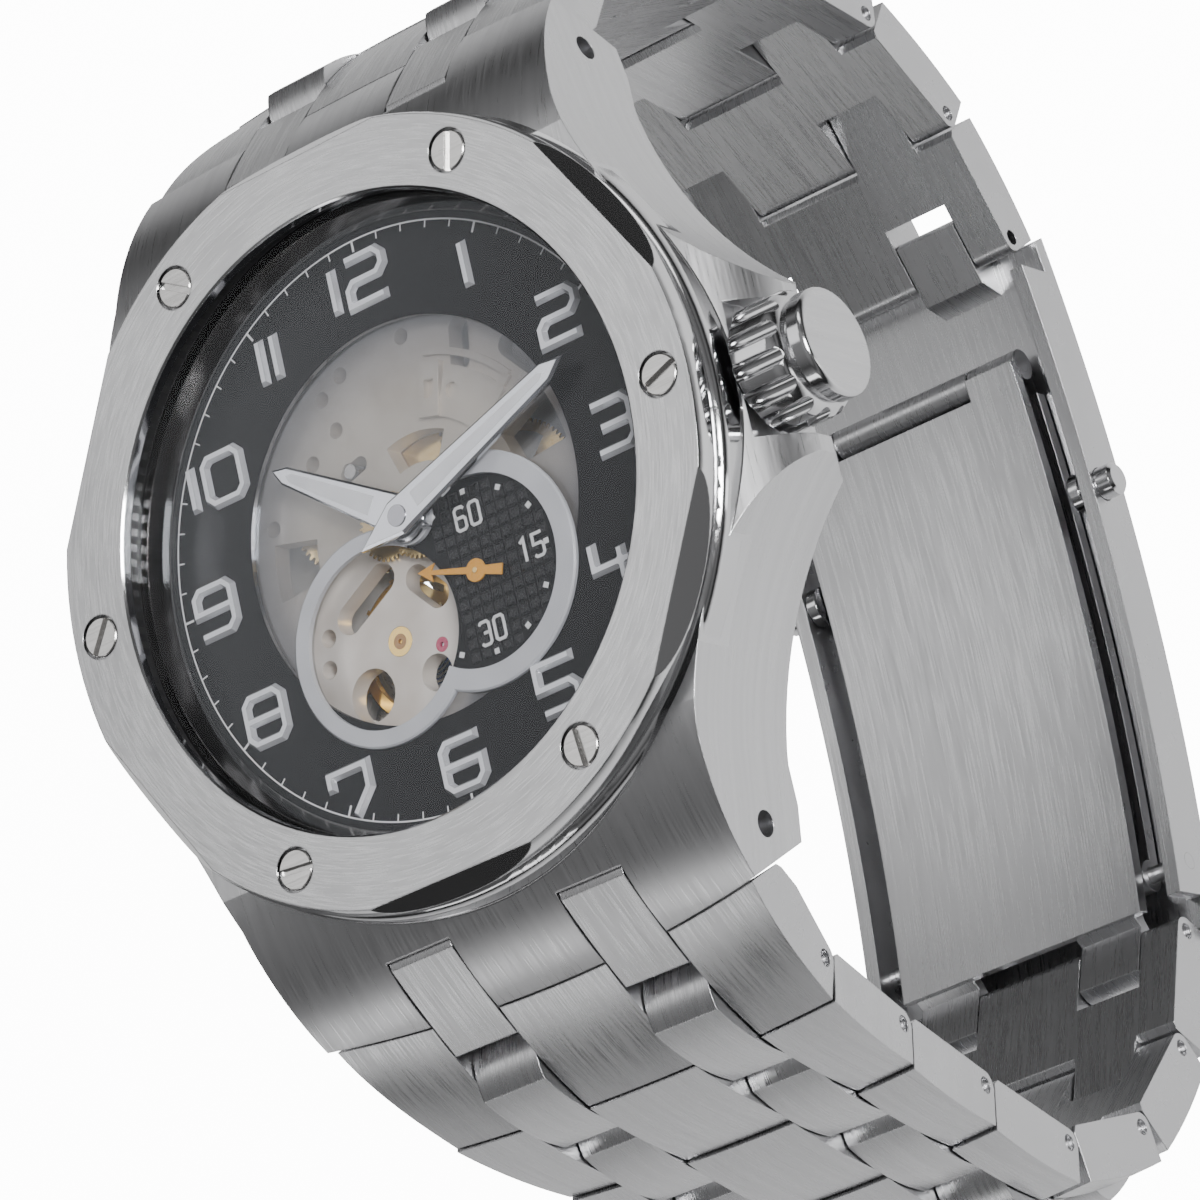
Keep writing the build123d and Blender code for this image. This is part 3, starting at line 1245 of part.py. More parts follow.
def bracelet_link(number):
    """One link with its rear pin, on the 12 o'clock side."""
    pin, slope = LINK_PINS[number - 1], LINK_SLOPES[number - 1]
    rear_pin = LINK_PINS[number]
    start = 3.7 if number == 1 else SEAM + SEAM_GAP
    bridge = [
        spot(pin, slope, start, -LINK_INSIDE),
        spot(pin, slope, start, BRIDGE_HEIGHT),
        spot(pin, slope, LINK_PITCH, BRIDGE_HEIGHT),
        spot(pin, slope, LINK_PITCH, -LINK_INSIDE),
    ]
    with BuildPart() as link:
        add(link_block(number))
        add(first_face() if number == 1 else crowned(pin, slope), mode=Mode.INTERSECT)
        if number == 1:
            add(lug_end_cutter(), mode=Mode.SUBTRACT)
        add(slab([(-5, -70), (60, -70), (60, 5), (-5, 5)], SLOTS, SLOT_WIDTH), mode=Mode.SUBTRACT)
        add(slab(bridge, SLOTS, SLOT_WIDTH))
        add(link_tongues(number))
        add(rear_slot(number), mode=Mode.SUBTRACT)
        bore = (LUG_BAR_RADIUS if number == 1 else LINK_PIN_RADIUS) + PIN_CLEARANCE
        add(rod(pin, bore, ACROSS), mode=Mode.SUBTRACT)
        add(rod(rear_pin, LINK_PIN_RADIUS + PIN_SEAT, ACROSS), mode=Mode.SUBTRACT)
    return link.part


LINK_COUNT = len(LINK_SLOPES)
for number in range(1, LINK_COUNT + 1):
    pin_length = LINK_HALF_WIDTHS[number] - 0.35
    # the last link on the 12 o'clock side takes the clasp's open end, so it has no pin
    with BuildPart() as upper_link:
        add(bracelet_link(number))
        if number < LINK_COUNT:
            add(rod(LINK_PINS[number], LINK_PIN_RADIUS, pin_length))
    upper_link.part.label = f"link_upper_{number}"
    export_step(upper_link.part, f"parts/link_upper_{number}.step")

    with BuildPart() as lower_link:
        add(mirror(bracelet_link(number), about=Plane.XZ, mode=Mode.PRIVATE))
        lower_pin = (-LINK_PINS[number][0], LINK_PINS[number][1])
        add(rod(lower_pin, LINK_PIN_RADIUS, pin_length))
    lower_link.part.label = f"link_lower_{number}"
    export_step(lower_link.part, f"parts/link_lower_{number}.step")

# ---------------------------------------------------------------- clasp
CLASP_AXIS = CLASP_BOTTOM + CLASP_CURVE  # height of its centre of curvature
END_PIN = LINK_PINS[-1]
END_SLOPE = LINK_SLOPES[-1]


def clasp_point(y, radius):
    """A point of the clasp's side view, at a distance from its centre of curvature."""
    return (y, CLASP_AXIS - sqrt(radius**2 - y**2))


COVER_HINGE = clasp_point(-17.5, 102.0)
BLADE_HINGE = clasp_point(14.5, 101.45)
PUSHER = clasp_point(6.0, 101.7)


def strip(start, end, inner, outer, low, width):
    """A curved strip of the clasp between two places along it, from low towards +X."""
    middle = (start + end) / 2
    with BuildPart() as curved:
        with BuildSketch(Plane.YZ.offset(low)):
            with BuildLine():
                points = [clasp_point(y, outer) for y in (start, middle, end)]
                returns = [clasp_point(y, inner) for y in (end, middle, start)]
                ThreePointArc(*points)
                Line(points[-1], returns[0])
                ThreePointArc(*returns)
                Line(returns[-1], points[0])
            make_face()
        extrude(amount=width)
    return curved.part


def end_tongues(corners):
    """Tongues of the clasp round the last pin of the 12 o'clock side."""
    reach = 2.4
    foot = sqrt(reach**2 - LINK_INSIDE**2)
    top = sqrt(reach**2 - 2.3**2)
    with BuildPart() as tongues:
        with BuildSketch(*[Plane.YZ.offset(x) for x in TONGUES]):
            with BuildLine():
                ThreePointArc(
                    spot(END_PIN, END_SLOPE, -foot, -LINK_INSIDE),
                    spot(END_PIN, END_SLOPE, -reach * sqrt(0.75), reach * 0.5),
                    spot(END_PIN, END_SLOPE, -top, 2.3),
                )
                path = [(-top, 2.3), *corners, (-foot, -LINK_INSIDE)]
                Polyline(*[spot(END_PIN, END_SLOPE, t, h) for t, h in path])
            make_face()
        extrude(amount=TONGUE_WIDTH)
    return tongues.part


with BuildPart() as link_end_space:
    with BuildSketch(Plane.YZ):
        edge = SEAM + SEAM_GAP
        Polygon(
            *[spot(END_PIN, END_SLOPE, t, h) for t, h in ((edge, -6), (edge, 8), (-8, 8), (-8, -6))],
            align=None,
        )
        mirror(about=Plane.YZ)
    extrude(amount=15, both=True)

with BuildPart() as clasp_cover:
    add(strip(-25, 25, CLASP_CURVE - 1, CLASP_CURVE, -CLASP_HALF_WIDTH, 2 * CLASP_HALF_WIDTH))
    for low in (-CLASP_HALF_WIDTH, CLASP_HALF_WIDTH - CLASP_WALL):
        add(strip(-19.5, 19.5, CLASP_CURVE - 3.5, CLASP_CURVE, low, CLASP_WALL))
    add(link_end_space.part, mode=Mode.SUBTRACT)
    add(end_tongues([(1.2, 2.1), (3.0, 1.4), (3.0, 0.7), (1.6, -LINK_INSIDE)]))
    add(rod(END_PIN, LINK_PIN_RADIUS + PIN_CLEARANCE, ACROSS), mode=Mode.SUBTRACT)
    add(rod(COVER_HINGE, HINGE_PIN_RADIUS + PIN_SEAT, ACROSS), mode=Mode.SUBTRACT)
    add(rod(PUSHER, 1.04, ACROSS), mode=Mode.SUBTRACT)
    add(rod(COVER_HINGE, HINGE_PIN_RADIUS, CLASP_HALF_WIDTH))
clasp_cover.part.label = "clasp_cover"
export_step(clasp_cover.part, "parts/clasp_cover.step")

with BuildPart() as clasp_outer_blade:
    plate = (OUTER_BLADE_CURVE, OUTER_BLADE_CURVE + BLADE_THICKNESS)
    add(strip(-17.5, 12.8, *plate, -BLADE_HALF_WIDTH, 2 * BLADE_HALF_WIDTH))
    add(strip(12.0, 14.5, *plate, -BLADE_TONGUE_HALF_WIDTH, 2 * BLADE_TONGUE_HALF_WIDTH))
    add(rod(COVER_HINGE, HINGE_BOSS_RADIUS, BLADE_HALF_WIDTH))
    add(rod(BLADE_HINGE, HINGE_BOSS_RADIUS, BLADE_TONGUE_HALF_WIDTH))
    # lightening slots
    for low in (-5.6, 1.6):
        add(strip(-12, 8, 101, 104, low, 4.0), mode=Mode.SUBTRACT)
    add(rod(COVER_HINGE, HINGE_PIN_RADIUS + PIN_CLEARANCE, ACROSS), mode=Mode.SUBTRACT)
    add(rod(BLADE_HINGE, HINGE_PIN_RADIUS + PIN_CLEARANCE, ACROSS), mode=Mode.SUBTRACT)
clasp_outer_blade.part.label = "clasp_outer_blade"
export_step(clasp_outer_blade.part, "parts/clasp_outer_blade.step")

with BuildPart() as clasp_inner_blade:
    plate = (INNER_BLADE_CURVE, INNER_BLADE_CURVE + BLADE_THICKNESS)
    add(strip(-19.9, 13.2, *plate, -BLADE_HALF_WIDTH, 2 * BLADE_HALF_WIDTH))
    for low in (-BLADE_HALF_WIDTH, 5.05):
        add(strip(12.5, 14.5, *plate, low, BLADE_HALF_WIDTH - 5.05))
    add(rod(BLADE_HINGE, HINGE_BOSS_RADIUS, BLADE_HALF_WIDTH))
    add(rod(BLADE_HINGE, 1.1, 5.05), mode=Mode.SUBTRACT)
    lower_tongues = end_tongues(
        [
            (0.5, 2.2), (0.8, 0.6), (1.5, -0.5), (3.0, -1.6),
            (3.0, -2.2), (1.1, -1.45), (0.9, -LINK_INSIDE),
        ]
    )
    add(mirror(lower_tongues, about=Plane.XZ, mode=Mode.PRIVATE))
    add(rod((-END_PIN[0], END_PIN[1]), LINK_PIN_RADIUS + PIN_CLEARANCE, ACROSS), mode=Mode.SUBTRACT)
    add(rod(BLADE_HINGE, HINGE_PIN_RADIUS + PIN_SEAT, ACROSS), mode=Mode.SUBTRACT)
    add(rod(BLADE_HINGE, HINGE_PIN_RADIUS, BLADE_HALF_WIDTH))
clasp_inner_blade.part.label = "clasp_inner_blade"
export_step(clasp_inner_blade.part, "parts/clasp_inner_blade.step")

for side, name in ((-1, "left"), (1, "right")):
    with BuildPart() as clasp_pusher:
        outwards = Plane(origin=(side * 9.3, *PUSHER), x_dir=(0, 1, 0), z_dir=(side, 0, 0))
        with BuildSketch(outwards):
            Circle(1.2)
        extrude(amount=0.65)
        with BuildSketch(outwards):
            Circle(1.0)
        extrude(amount=2.85)
        chamfer(clasp_pusher.edges().sort_by(Axis.X)[-1 if side > 0 else 0], 0.2)
    clasp_pusher.part.label = f"clasp_pusher_{name}"
    export_step(clasp_pusher.part, f"parts/clasp_pusher_{name}.step")
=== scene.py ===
import json
from math import cos, pi, radians, sin, sqrt

import bmesh
import bpy
from mathutils import Matrix, Vector


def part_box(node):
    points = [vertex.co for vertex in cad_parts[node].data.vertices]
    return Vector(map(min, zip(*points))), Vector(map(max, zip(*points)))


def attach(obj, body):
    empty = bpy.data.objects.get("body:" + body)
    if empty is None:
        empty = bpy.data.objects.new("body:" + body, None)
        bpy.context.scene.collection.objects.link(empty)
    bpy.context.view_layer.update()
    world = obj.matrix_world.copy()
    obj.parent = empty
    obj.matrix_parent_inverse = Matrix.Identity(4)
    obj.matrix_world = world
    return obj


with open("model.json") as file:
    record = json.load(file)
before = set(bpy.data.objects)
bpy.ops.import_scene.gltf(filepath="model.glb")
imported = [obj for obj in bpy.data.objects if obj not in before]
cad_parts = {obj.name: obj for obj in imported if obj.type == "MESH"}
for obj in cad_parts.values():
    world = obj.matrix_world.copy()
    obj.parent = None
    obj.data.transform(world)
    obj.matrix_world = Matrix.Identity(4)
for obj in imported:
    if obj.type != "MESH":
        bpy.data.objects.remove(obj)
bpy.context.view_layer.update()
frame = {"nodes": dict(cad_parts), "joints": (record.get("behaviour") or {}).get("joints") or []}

# Looks of the skeleton wristwatch. The frame's origin is on the hand axis at the dial's top face,
# +Y points to 12 o'clock, +X to the crown and +Z out of the dial. Lengths here are in millimetres
# and become metres through MM.
MM = 0.001
NODES = frame["nodes"]

# ---------------------------------------------------------------- places taken from the frame
JOINTS = {joint["name"]: joint for joint in frame["joints"]}


def joint_place(name):
    """Where a joint's axis stands in plan, in millimetres."""
    x, y, _ = JOINTS[name]["pos_m"]
    return (x / MM, y / MM)


def top_of(node):
    """Height of a node's upper face, in millimetres."""
    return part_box(node)[1].z / MM


SECONDS_CENTRE = joint_place("seconds_turn")
BALANCE_CENTRE = joint_place("balance_swing")
DIAL_TOP = top_of("dial_ring")
SUBDIAL_TOP = top_of("seconds_subdial")
HOUR_HAND_TOP = top_of("hour_hand")
MINUTE_HAND_TOP = top_of("minute_hand")


# ---------------------------------------------------------------- node helpers
class Shader:
    """A material's node tree, with short calls for the nodes that this scene uses."""

    def __init__(self, name):
        self.material = bpy.data.materials.new(name)
        self.material.use_nodes = True
        self.tree = self.material.node_tree
        self.tree.nodes.clear()
        self.output = self.tree.nodes.new("ShaderNodeOutputMaterial")
        self.place = self.tree.nodes.new("ShaderNodeTexCoord")

    def link(self, value, socket):
        if isinstance(value, bpy.types.NodeSocket):
            self.tree.links.new(value, socket)
        else:
            socket.default_value = value

    def node(self, kind, inputs, **settings):
        made = self.tree.nodes.new(kind)
        for key, value in settings.items():
            setattr(made, key, value)
        for key, value in inputs.items():
            self.link(value, made.inputs[key])
        return made

    def math(self, operation, a, b=0.0, clamp=False):
        return self.node("ShaderNodeMath", {0: a, 1: b}, operation=operation, use_clamp=clamp).outputs[0]

    def axes(self, vector=None):
        made = self.node("ShaderNodeSeparateXYZ", {0: vector or self.place.outputs["Object"]})
        return made.outputs

    def noise(self, vector, scale, detail=3.0, rough=0.5):
        inputs = {"Vector": vector, "Scale": scale, "Detail": detail, "Roughness": rough}
        return self.node("ShaderNodeTexNoise", inputs).outputs["Fac"]

    def stretched(self, scale):
        """Object coordinates multiplied along each axis."""
        inputs = {0: self.place.outputs["Object"], 1: scale}
        return self.node("ShaderNodeVectorMath", inputs, operation="MULTIPLY").outputs[0]

    def around(self, per_radius, per_turn):
        """Coordinates that run round the hand axis: one of radius, one of angle, one of height."""
        x, y, z = self.axes()
        turn = self.math("ARCTAN2", y, x)
        parts = {
            0: self.math("MULTIPLY", self.radius(), per_radius),
            1: self.math("MULTIPLY", turn, per_turn),
            2: self.math("MULTIPLY", z, per_radius),
        }
        return self.node("ShaderNodeCombineXYZ", parts).outputs[0]

    def radius(self, centre=(0.0, 0.0)):
        """Distance from an upright axis in plan, in metres."""
        x, y, _ = self.axes()
        dx = self.math("SUBTRACT", x, centre[0] * MM)
        dy = self.math("SUBTRACT", y, centre[1] * MM)
        squares = [self.math("MULTIPLY", part, part) for part in (dx, dy)]
        return self.math("SQRT", self.math("ADD", *squares))

    def spread(self, value, low, high, start=0.0, end=1.0):
        """A value from start to end, brought to the range from low to high."""
        inputs = {"Value": value, "From Min": start, "From Max": end, "To Min": low, "To Max": high}
        return self.node("ShaderNodeMapRange", inputs, clamp=True).outputs[0]

    def blend(self, share, a, b):
        """A colour between a and b."""
        made = self.node("ShaderNodeMix", {"Factor": share}, data_type="RGBA")
        self.link(a, made.inputs[6])
        self.link(b, made.inputs[7])
        return made.outputs[2]

    def bump(self, height, strength, distance, normal=None):
        inputs = {"Height": height, "Strength": strength, "Distance": distance}
        if normal is not None:
            inputs["Normal"] = normal
        return self.node("ShaderNodeBump", inputs).outputs[0]

    def rounded(self, radius):
        """A normal that rounds sharp edges off, as polishing does."""
        return self.node("ShaderNodeBevel", {"Radius": radius}, samples=4).outputs[0]

    def facing_up(self):
        """1 where the surface faces +Z, and 0 elsewhere."""
        normal = self.axes(self.place.outputs["Normal"])
        return self.math("GREATER_THAN", normal[2], FLAT)

    def surface(self, **inputs):
        named = {key.replace("_", " "): value for key, value in inputs.items()}
        return self.node("ShaderNodeBsdfPrincipled", named)

    def finish(self, shader):
        self.tree.links.new(shader.outputs[0], self.output.inputs["Surface"])
        return self.material


def rgb(red, green, blue):
    return (red, green, blue, 1.0)


# ---------------------------------------------------------------- materials
EDGE = 0.09 * MM  # radius that polishing leaves on an edge
FINE_EDGE = 0.03 * MM
FLAT = 0.97  # how far up a normal points on a flat top face
STEEL = rgb(0.63, 0.63, 0.64)
STEEL_DARK = rgb(0.50, 0.50, 0.51)
POLISHED_ROUGH = 0.10
ANISOTROPY = 0.55
GRAIN_ACROSS = 9000.0  # cycles per metre across the brushing
GRAIN_ALONG = 260.0
SCRATCH_DEPTH = 0.004 * MM


def brushed(name, colour, dark, rough, grain, polish=None, aniso=None, edge=EDGE, depth=0.5):
    """Steel with brushed grain and rounded edges. Polish gives the share of the surface without grain."""
    s = Shader(name)
    lines = grain(s)
    fine = s.noise(lines, 1.0, 4.0, 0.6)
    broad = s.noise(lines, 0.22, 2.0)
    worn = s.noise(s.place.outputs["Object"], 160.0, 3.0)
    edge_normal = s.rounded(edge)
    shine = polish(s) if polish else 0.0
    matt = s.math("SUBTRACT", 1.0, shine)
    tone = s.math("MULTIPLY", s.spread(broad, 0.0, 1.0, 0.3, 0.7), matt)
    base = s.blend(s.math("MULTIPLY", tone, 0.4), colour, dark)
    scratched = s.spread(fine, rough - 0.05, rough + 0.07, 0.3, 0.7)
    grained = s.math("ADD", scratched, s.spread(worn, -0.03, 0.04))
    roughness = s.math("ADD", s.math("MULTIPLY", grained, matt), s.math("MULTIPLY", POLISHED_ROUGH, shine))
    strength = s.math("MULTIPLY", matt, depth)
    normal = s.bump(fine, strength, SCRATCH_DEPTH, edge_normal)
    inputs = {"Base_Color": base, "Metallic": 1.0, "Roughness": roughness, "Normal": normal}
    if aniso:
        inputs["Anisotropic"] = s.math("MULTIPLY", matt, ANISOTROPY)
        tangent = s.node("ShaderNodeTangent", {}, direction_type="RADIAL", axis=aniso)
        inputs["Tangent"] = tangent.outputs[0]
    return s.finish(s.surface(**inputs))


def polished(name, colour, rough=0.07, edge=EDGE, swirl=1400.0):
    """Mirror-polished metal with faint polishing marks."""
    s = Shader(name)
    marks = s.noise(s.place.outputs["Object"], swirl, 5.0, 0.65)
    smears = s.noise(s.place.outputs["Object"], swirl * 0.12, 2.0)
    marked = s.spread(marks, rough - 0.02, rough + 0.04)
    roughness = s.math("ADD", marked, s.spread(smears, 0.0, 0.05, 0.4, 0.8))
    normal = s.bump(marks, 0.05, SCRATCH_DEPTH, s.rounded(edge))
    base = s.blend(s.spread(smears, 0.0, 0.3, 0.4, 0.8), colour, rgb(*[c * 0.82 for c in colour[:3]]))
    return s.finish(s.surface(Base_Color=base, Metallic=1.0, Roughness=roughness, Normal=normal))


def painted(name, colour, rough, grit=6000.0, gloss=0.0, depth=0.15, shine=0.5):
    """Lacquer or print with a fine grit."""
    s = Shader(name)
    grains = s.noise(s.place.outputs["Object"], grit, 4.0, 0.6)
    patches = s.noise(s.place.outputs["Object"], grit * 0.06, 2.0)
    shade = rgb(*[c * 0.8 for c in colour[:3]])
    base = s.blend(s.spread(patches, 0.0, 0.7, 0.35, 0.75), colour, shade)
    roughness = s.spread(grains, rough - 0.06, rough + 0.08, 0.3, 0.7)
    normal = s.bump(grains, depth, SCRATCH_DEPTH, s.rounded(FINE_EDGE))
    return s.finish(
        s.surface(
            Base_Color=base, Metallic=0.0, Roughness=roughness, Normal=normal, Specular_IOR_Level=shine,
            Coat_Weight=gloss,
        )
    )


def clear_glass(name, tint, mirror, haze=0.02):
    """Thin glass: what is behind it, tinted, under a weak reflection that grows at grazing angles."""
    s = Shader(name)
    smears = s.noise(s.place.outputs["Object"], 90.0, 3.0)
    rough = s.spread(smears, haze, haze + 0.05, 0.45, 0.8)
    through = s.node("ShaderNodeBsdfTransparent", {"Color": tint(s) if callable(tint) else tint})
    gloss = s.surface(Base_Color=rgb(0.9, 0.93, 0.96), Metallic=1.0, Roughness=rough)
    fresnel = s.node("ShaderNodeFresnel", {"IOR": 1.45}).outputs[0]
    share = s.math("MULTIPLY", fresnel, mirror, clamp=True)
    mix = s.node("ShaderNodeMixShader", {0: share, 1: through.outputs[0], 2: gloss.outputs[0]})
    return s.finish(mix)


FLANK = 0.6  # how far sideways a normal points on the case's flanks


def grain_lengthwise(s):
    """Brushing that runs along the bracelet, whichever way a link leans."""
    return s.stretched((GRAIN_ACROSS, GRAIN_ALONG, GRAIN_ALONG))


def grain_case(s):
    """Brushing that runs from lug to lug, on the top and on the flanks."""
    x, y, z = s.axes()
    sideways = s.math("ABSOLUTE", s.axes(s.place.outputs["Normal"])[0])
    flank = s.math("GREATER_THAN", sideways, FLANK)
    on_top = s.math("MULTIPLY", x, s.math("SUBTRACT", 1.0, flank))
    across = s.math("ADD", on_top, s.math("MULTIPLY", z, flank))
    parts = {0: s.math("MULTIPLY", across, GRAIN_ACROSS), 1: s.math("MULTIPLY", y, GRAIN_ALONG)}
    return s.node("ShaderNodeCombineXYZ", parts).outputs[0]


def grain_round(s):
    """Brushing round the hand axis."""
    return s.around(GRAIN_ACROSS, 9.0)


def grain_cap(s):
    """Brushing across the crown's cap."""
    return s.stretched((GRAIN_ALONG, GRAIN_ACROSS, GRAIN_ALONG * 2))


RING_RADIUS = 21.38 * MM  # the polished ring of the case, under the bezel
RING_LOW = -0.95 * MM
CAP_FACE = 0.9  # how far along +X a normal points on the crown's cap


def ring_polish(s):
    """The ring that stands round the bezel on the case is polished."""
    inside = s.math("LESS_THAN", s.radius(), RING_RADIUS)
    high = s.math("GREATER_THAN", s.axes()[2], RING_LOW)
    return s.math("MULTIPLY", inside, high)


def side_polish(s):
    """All but the top face is polished."""
    return s.math("SUBTRACT", 1.0, s.facing_up())


def cap_polish(s):
    """All but the flat cap, which faces +X, is polished."""
    normal = s.axes(s.place.outputs["Normal"])
    return s.math("LESS_THAN", normal[0], CAP_FACE)


SMOKE_START = 7.0 * MM
SMOKE_END = 10.9 * MM


def smoked(s):
    """Glass that darkens towards its rim."""
    share = s.spread(s.radius(), 0.0, 1.0, SMOKE_START, SMOKE_END)
    return s.blend(share, rgb(0.96, 0.95, 0.93), rgb(0.78, 0.78, 0.79))


def numeral_finish():
    """White tops on bevelled, bright metal sides."""
    s = Shader("numeral_finish")
    grains = s.noise(s.place.outputs["Object"], 5000.0, 3.0)
    top = s.facing_up()
    white = s.blend(s.spread(grains, 0.0, 1.0), rgb(0.93, 0.94, 0.95), rgb(0.82, 0.83, 0.85))
    base = s.blend(top, rgb(0.80, 0.81, 0.83), white)
    metal = s.math("MULTIPLY", s.math("SUBTRACT", 1.0, top), 0.5)
    rough = s.math("ADD", s.math("MULTIPLY", top, 0.2), s.spread(grains, 0.16, 0.26))
    normal = s.bump(grains, 0.1, SCRATCH_DEPTH, s.rounded(FINE_EDGE))
    return s.finish(s.surface(Base_Color=base, Metallic=metal, Roughness=rough, Normal=normal))


STRIPE_PITCH = 3.2 * MM


def movement_finish(name, light, dark, stripes):
    """Frosted nickel with a warm cast, or a bridge with broad parallel stripes."""
    s = Shader(name)
    x, y, _ = s.axes()
    frost = s.noise(s.place.outputs["Object"], 7000.0, 5.0, 0.7)
    cloud = s.noise(s.place.outputs["Object"], 240.0, 3.0)
    tone = s.spread(cloud, 0.0, 0.9, 0.35, 0.7)
    if stripes:
        along = s.math("MULTIPLY", s.math("ADD", x, y), 2 * pi / STRIPE_PITCH)
        wave = s.math("SINE", along)
        tone = s.math("ADD", s.math("MULTIPLY", tone, 0.4), s.spread(wave, 0.0, 0.6, -1.0, 1.0))
    base = s.blend(tone, light, dark)
    normal = s.bump(frost, 0.25, SCRATCH_DEPTH, s.rounded(FINE_EDGE))
    rough = s.spread(frost, 0.28, 0.46, 0.3, 0.7)
    return s.finish(s.surface(Base_Color=base, Metallic=0.25, Roughness=rough, Normal=normal))


CHATON_RADIUS = 0.95 * MM
CHATON_HOLE = 0.42 * MM


def jewel_finish():
    """Ruby rings; the balance's jewel sits in a gold chaton."""
    s = Shader("jewel_finish")
    from_balance = s.radius(BALANCE_CENTRE)
    near = s.math("LESS_THAN", from_balance, CHATON_RADIUS)
    gold = s.math("MULTIPLY", near, s.math("GREATER_THAN", from_balance, CHATON_HOLE))
    flaw = s.noise(s.place.outputs["Object"], 3000.0, 2.0)
    ruby = s.blend(s.spread(flaw, 0.0, 1.0), rgb(0.62, 0.05, 0.14), rgb(0.45, 0.02, 0.09))
    amber = s.blend(near, ruby, rgb(0.45, 0.22, 0.05))
    base = s.blend(gold, amber, rgb(0.90, 0.62, 0.20))
    rough = s.spread(flaw, 0.08, 0.16)
    normal = s.rounded(FINE_EDGE)
    return s.finish(s.surface(Base_Color=base, Metallic=gold, Roughness=rough, Normal=normal, Coat_Weight=0.6))


CASE_STEEL = brushed("case_steel", STEEL, STEEL_DARK, 0.30, grain_case, ring_polish)
BEZEL_STEEL = brushed(
    "bezel_steel", rgb(0.68, 0.68, 0.69), rgb(0.56, 0.56, 0.57), 0.27, grain_round, side_polish, "Z"
)
LINK_STEEL = brushed(
    "link_steel", rgb(0.60, 0.60, 0.61), rgb(0.49, 0.49, 0.50), 0.27, grain_lengthwise, aniso="X"
)
CLASP_STEEL = brushed(
    "clasp_steel", rgb(0.60, 0.60, 0.61), rgb(0.50, 0.50, 0.51), 0.28, grain_lengthwise, aniso="X"
)
BACK_STEEL = brushed("back_steel", STEEL, STEEL_DARK, 0.26, grain_round, None, "Z")
CROWN_STEEL = brushed("crown_steel", rgb(0.66, 0.66, 0.67), STEEL_DARK, 0.22, grain_cap, cap_polish)
SCREW_STEEL = brushed(
    "screw_finish", rgb(0.64, 0.63, 0.62), rgb(0.46, 0.45, 0.44), 0.20, grain_cap, edge=FINE_EDGE
)
FRAME_STEEL = painted("frame_finish", rgb(0.66, 0.67, 0.69), 0.38, 5000.0, 0.1)
BLADE_STEEL = brushed(
    "rotor_finish", rgb(0.70, 0.67, 0.62), rgb(0.55, 0.52, 0.47), 0.28, grain_round, edge=FINE_EDGE
)
HAND_STEEL = polished("hand_finish", rgb(0.72, 0.73, 0.75), 0.12, FINE_EDGE)
BRIGHT_STEEL = polished("bright_steel", rgb(0.66, 0.66, 0.67))
SPRING_STEEL = polished("spring_finish", rgb(0.45, 0.45, 0.47), 0.16, FINE_EDGE)
BLUE_STEEL = polished("blue_finish", rgb(0.10, 0.16, 0.45), 0.14, FINE_EDGE)
TRAIN_BRASS = polished("train_finish", rgb(0.78, 0.58, 0.25), 0.20, FINE_EDGE)
BALANCE_GOLD = polished("balance_finish", rgb(0.86, 0.56, 0.14), 0.16, FINE_EDGE)
DIAL_BLACK = painted("dial_lacquer", rgb(0.006, 0.006, 0.007), 0.34, 9000.0, 0.0, 0.15, 0.2)
TILE_BLACK = painted("tile_lacquer", rgb(0.010, 0.010, 0.011), 0.28, 9000.0, 0.0, 0.15, 0.4)
FLANGE_DARK = polished("flange_finish", rgb(0.20, 0.195, 0.19), 0.16)
WHITE_PRINT = painted("white_print", rgb(0.90, 0.90, 0.89), 0.45)
WHITE_LUME = painted("white_lume", rgb(0.94, 0.95, 0.96), 0.50, 7000.0, 0.0, 0.4)
ORANGE_PAINT = painted("orange_lacquer", rgb(0.88, 0.40, 0.02), 0.30, 7000.0, 0.3)
HOLDER_GREY = painted("holder_finish", rgb(0.09, 0.09, 0.09), 0.55, 2500.0)
RUBBER = painted("rubber_finish", rgb(0.02, 0.02, 0.02), 0.65, 3000.0)
NICKEL = movement_finish("plate_finish", rgb(0.90, 0.84, 0.76), rgb(0.66, 0.58, 0.49), False)
BRIDGE_NICKEL = movement_finish("bridge_finish", rgb(0.74, 0.72, 0.68), rgb(0.52, 0.50, 0.46), True)
JEWELS = jewel_finish()
NUMERALS = numeral_finish()
CRYSTAL = clear_glass("crystal_glass", rgb(0.98, 0.98, 0.99), 0.22)
BACK_GLASS = clear_glass("back_glass", rgb(0.94, 0.96, 0.97), 0.8)
SMOKED = clear_glass("smoked_glass", smoked, 0.8, 0.05)

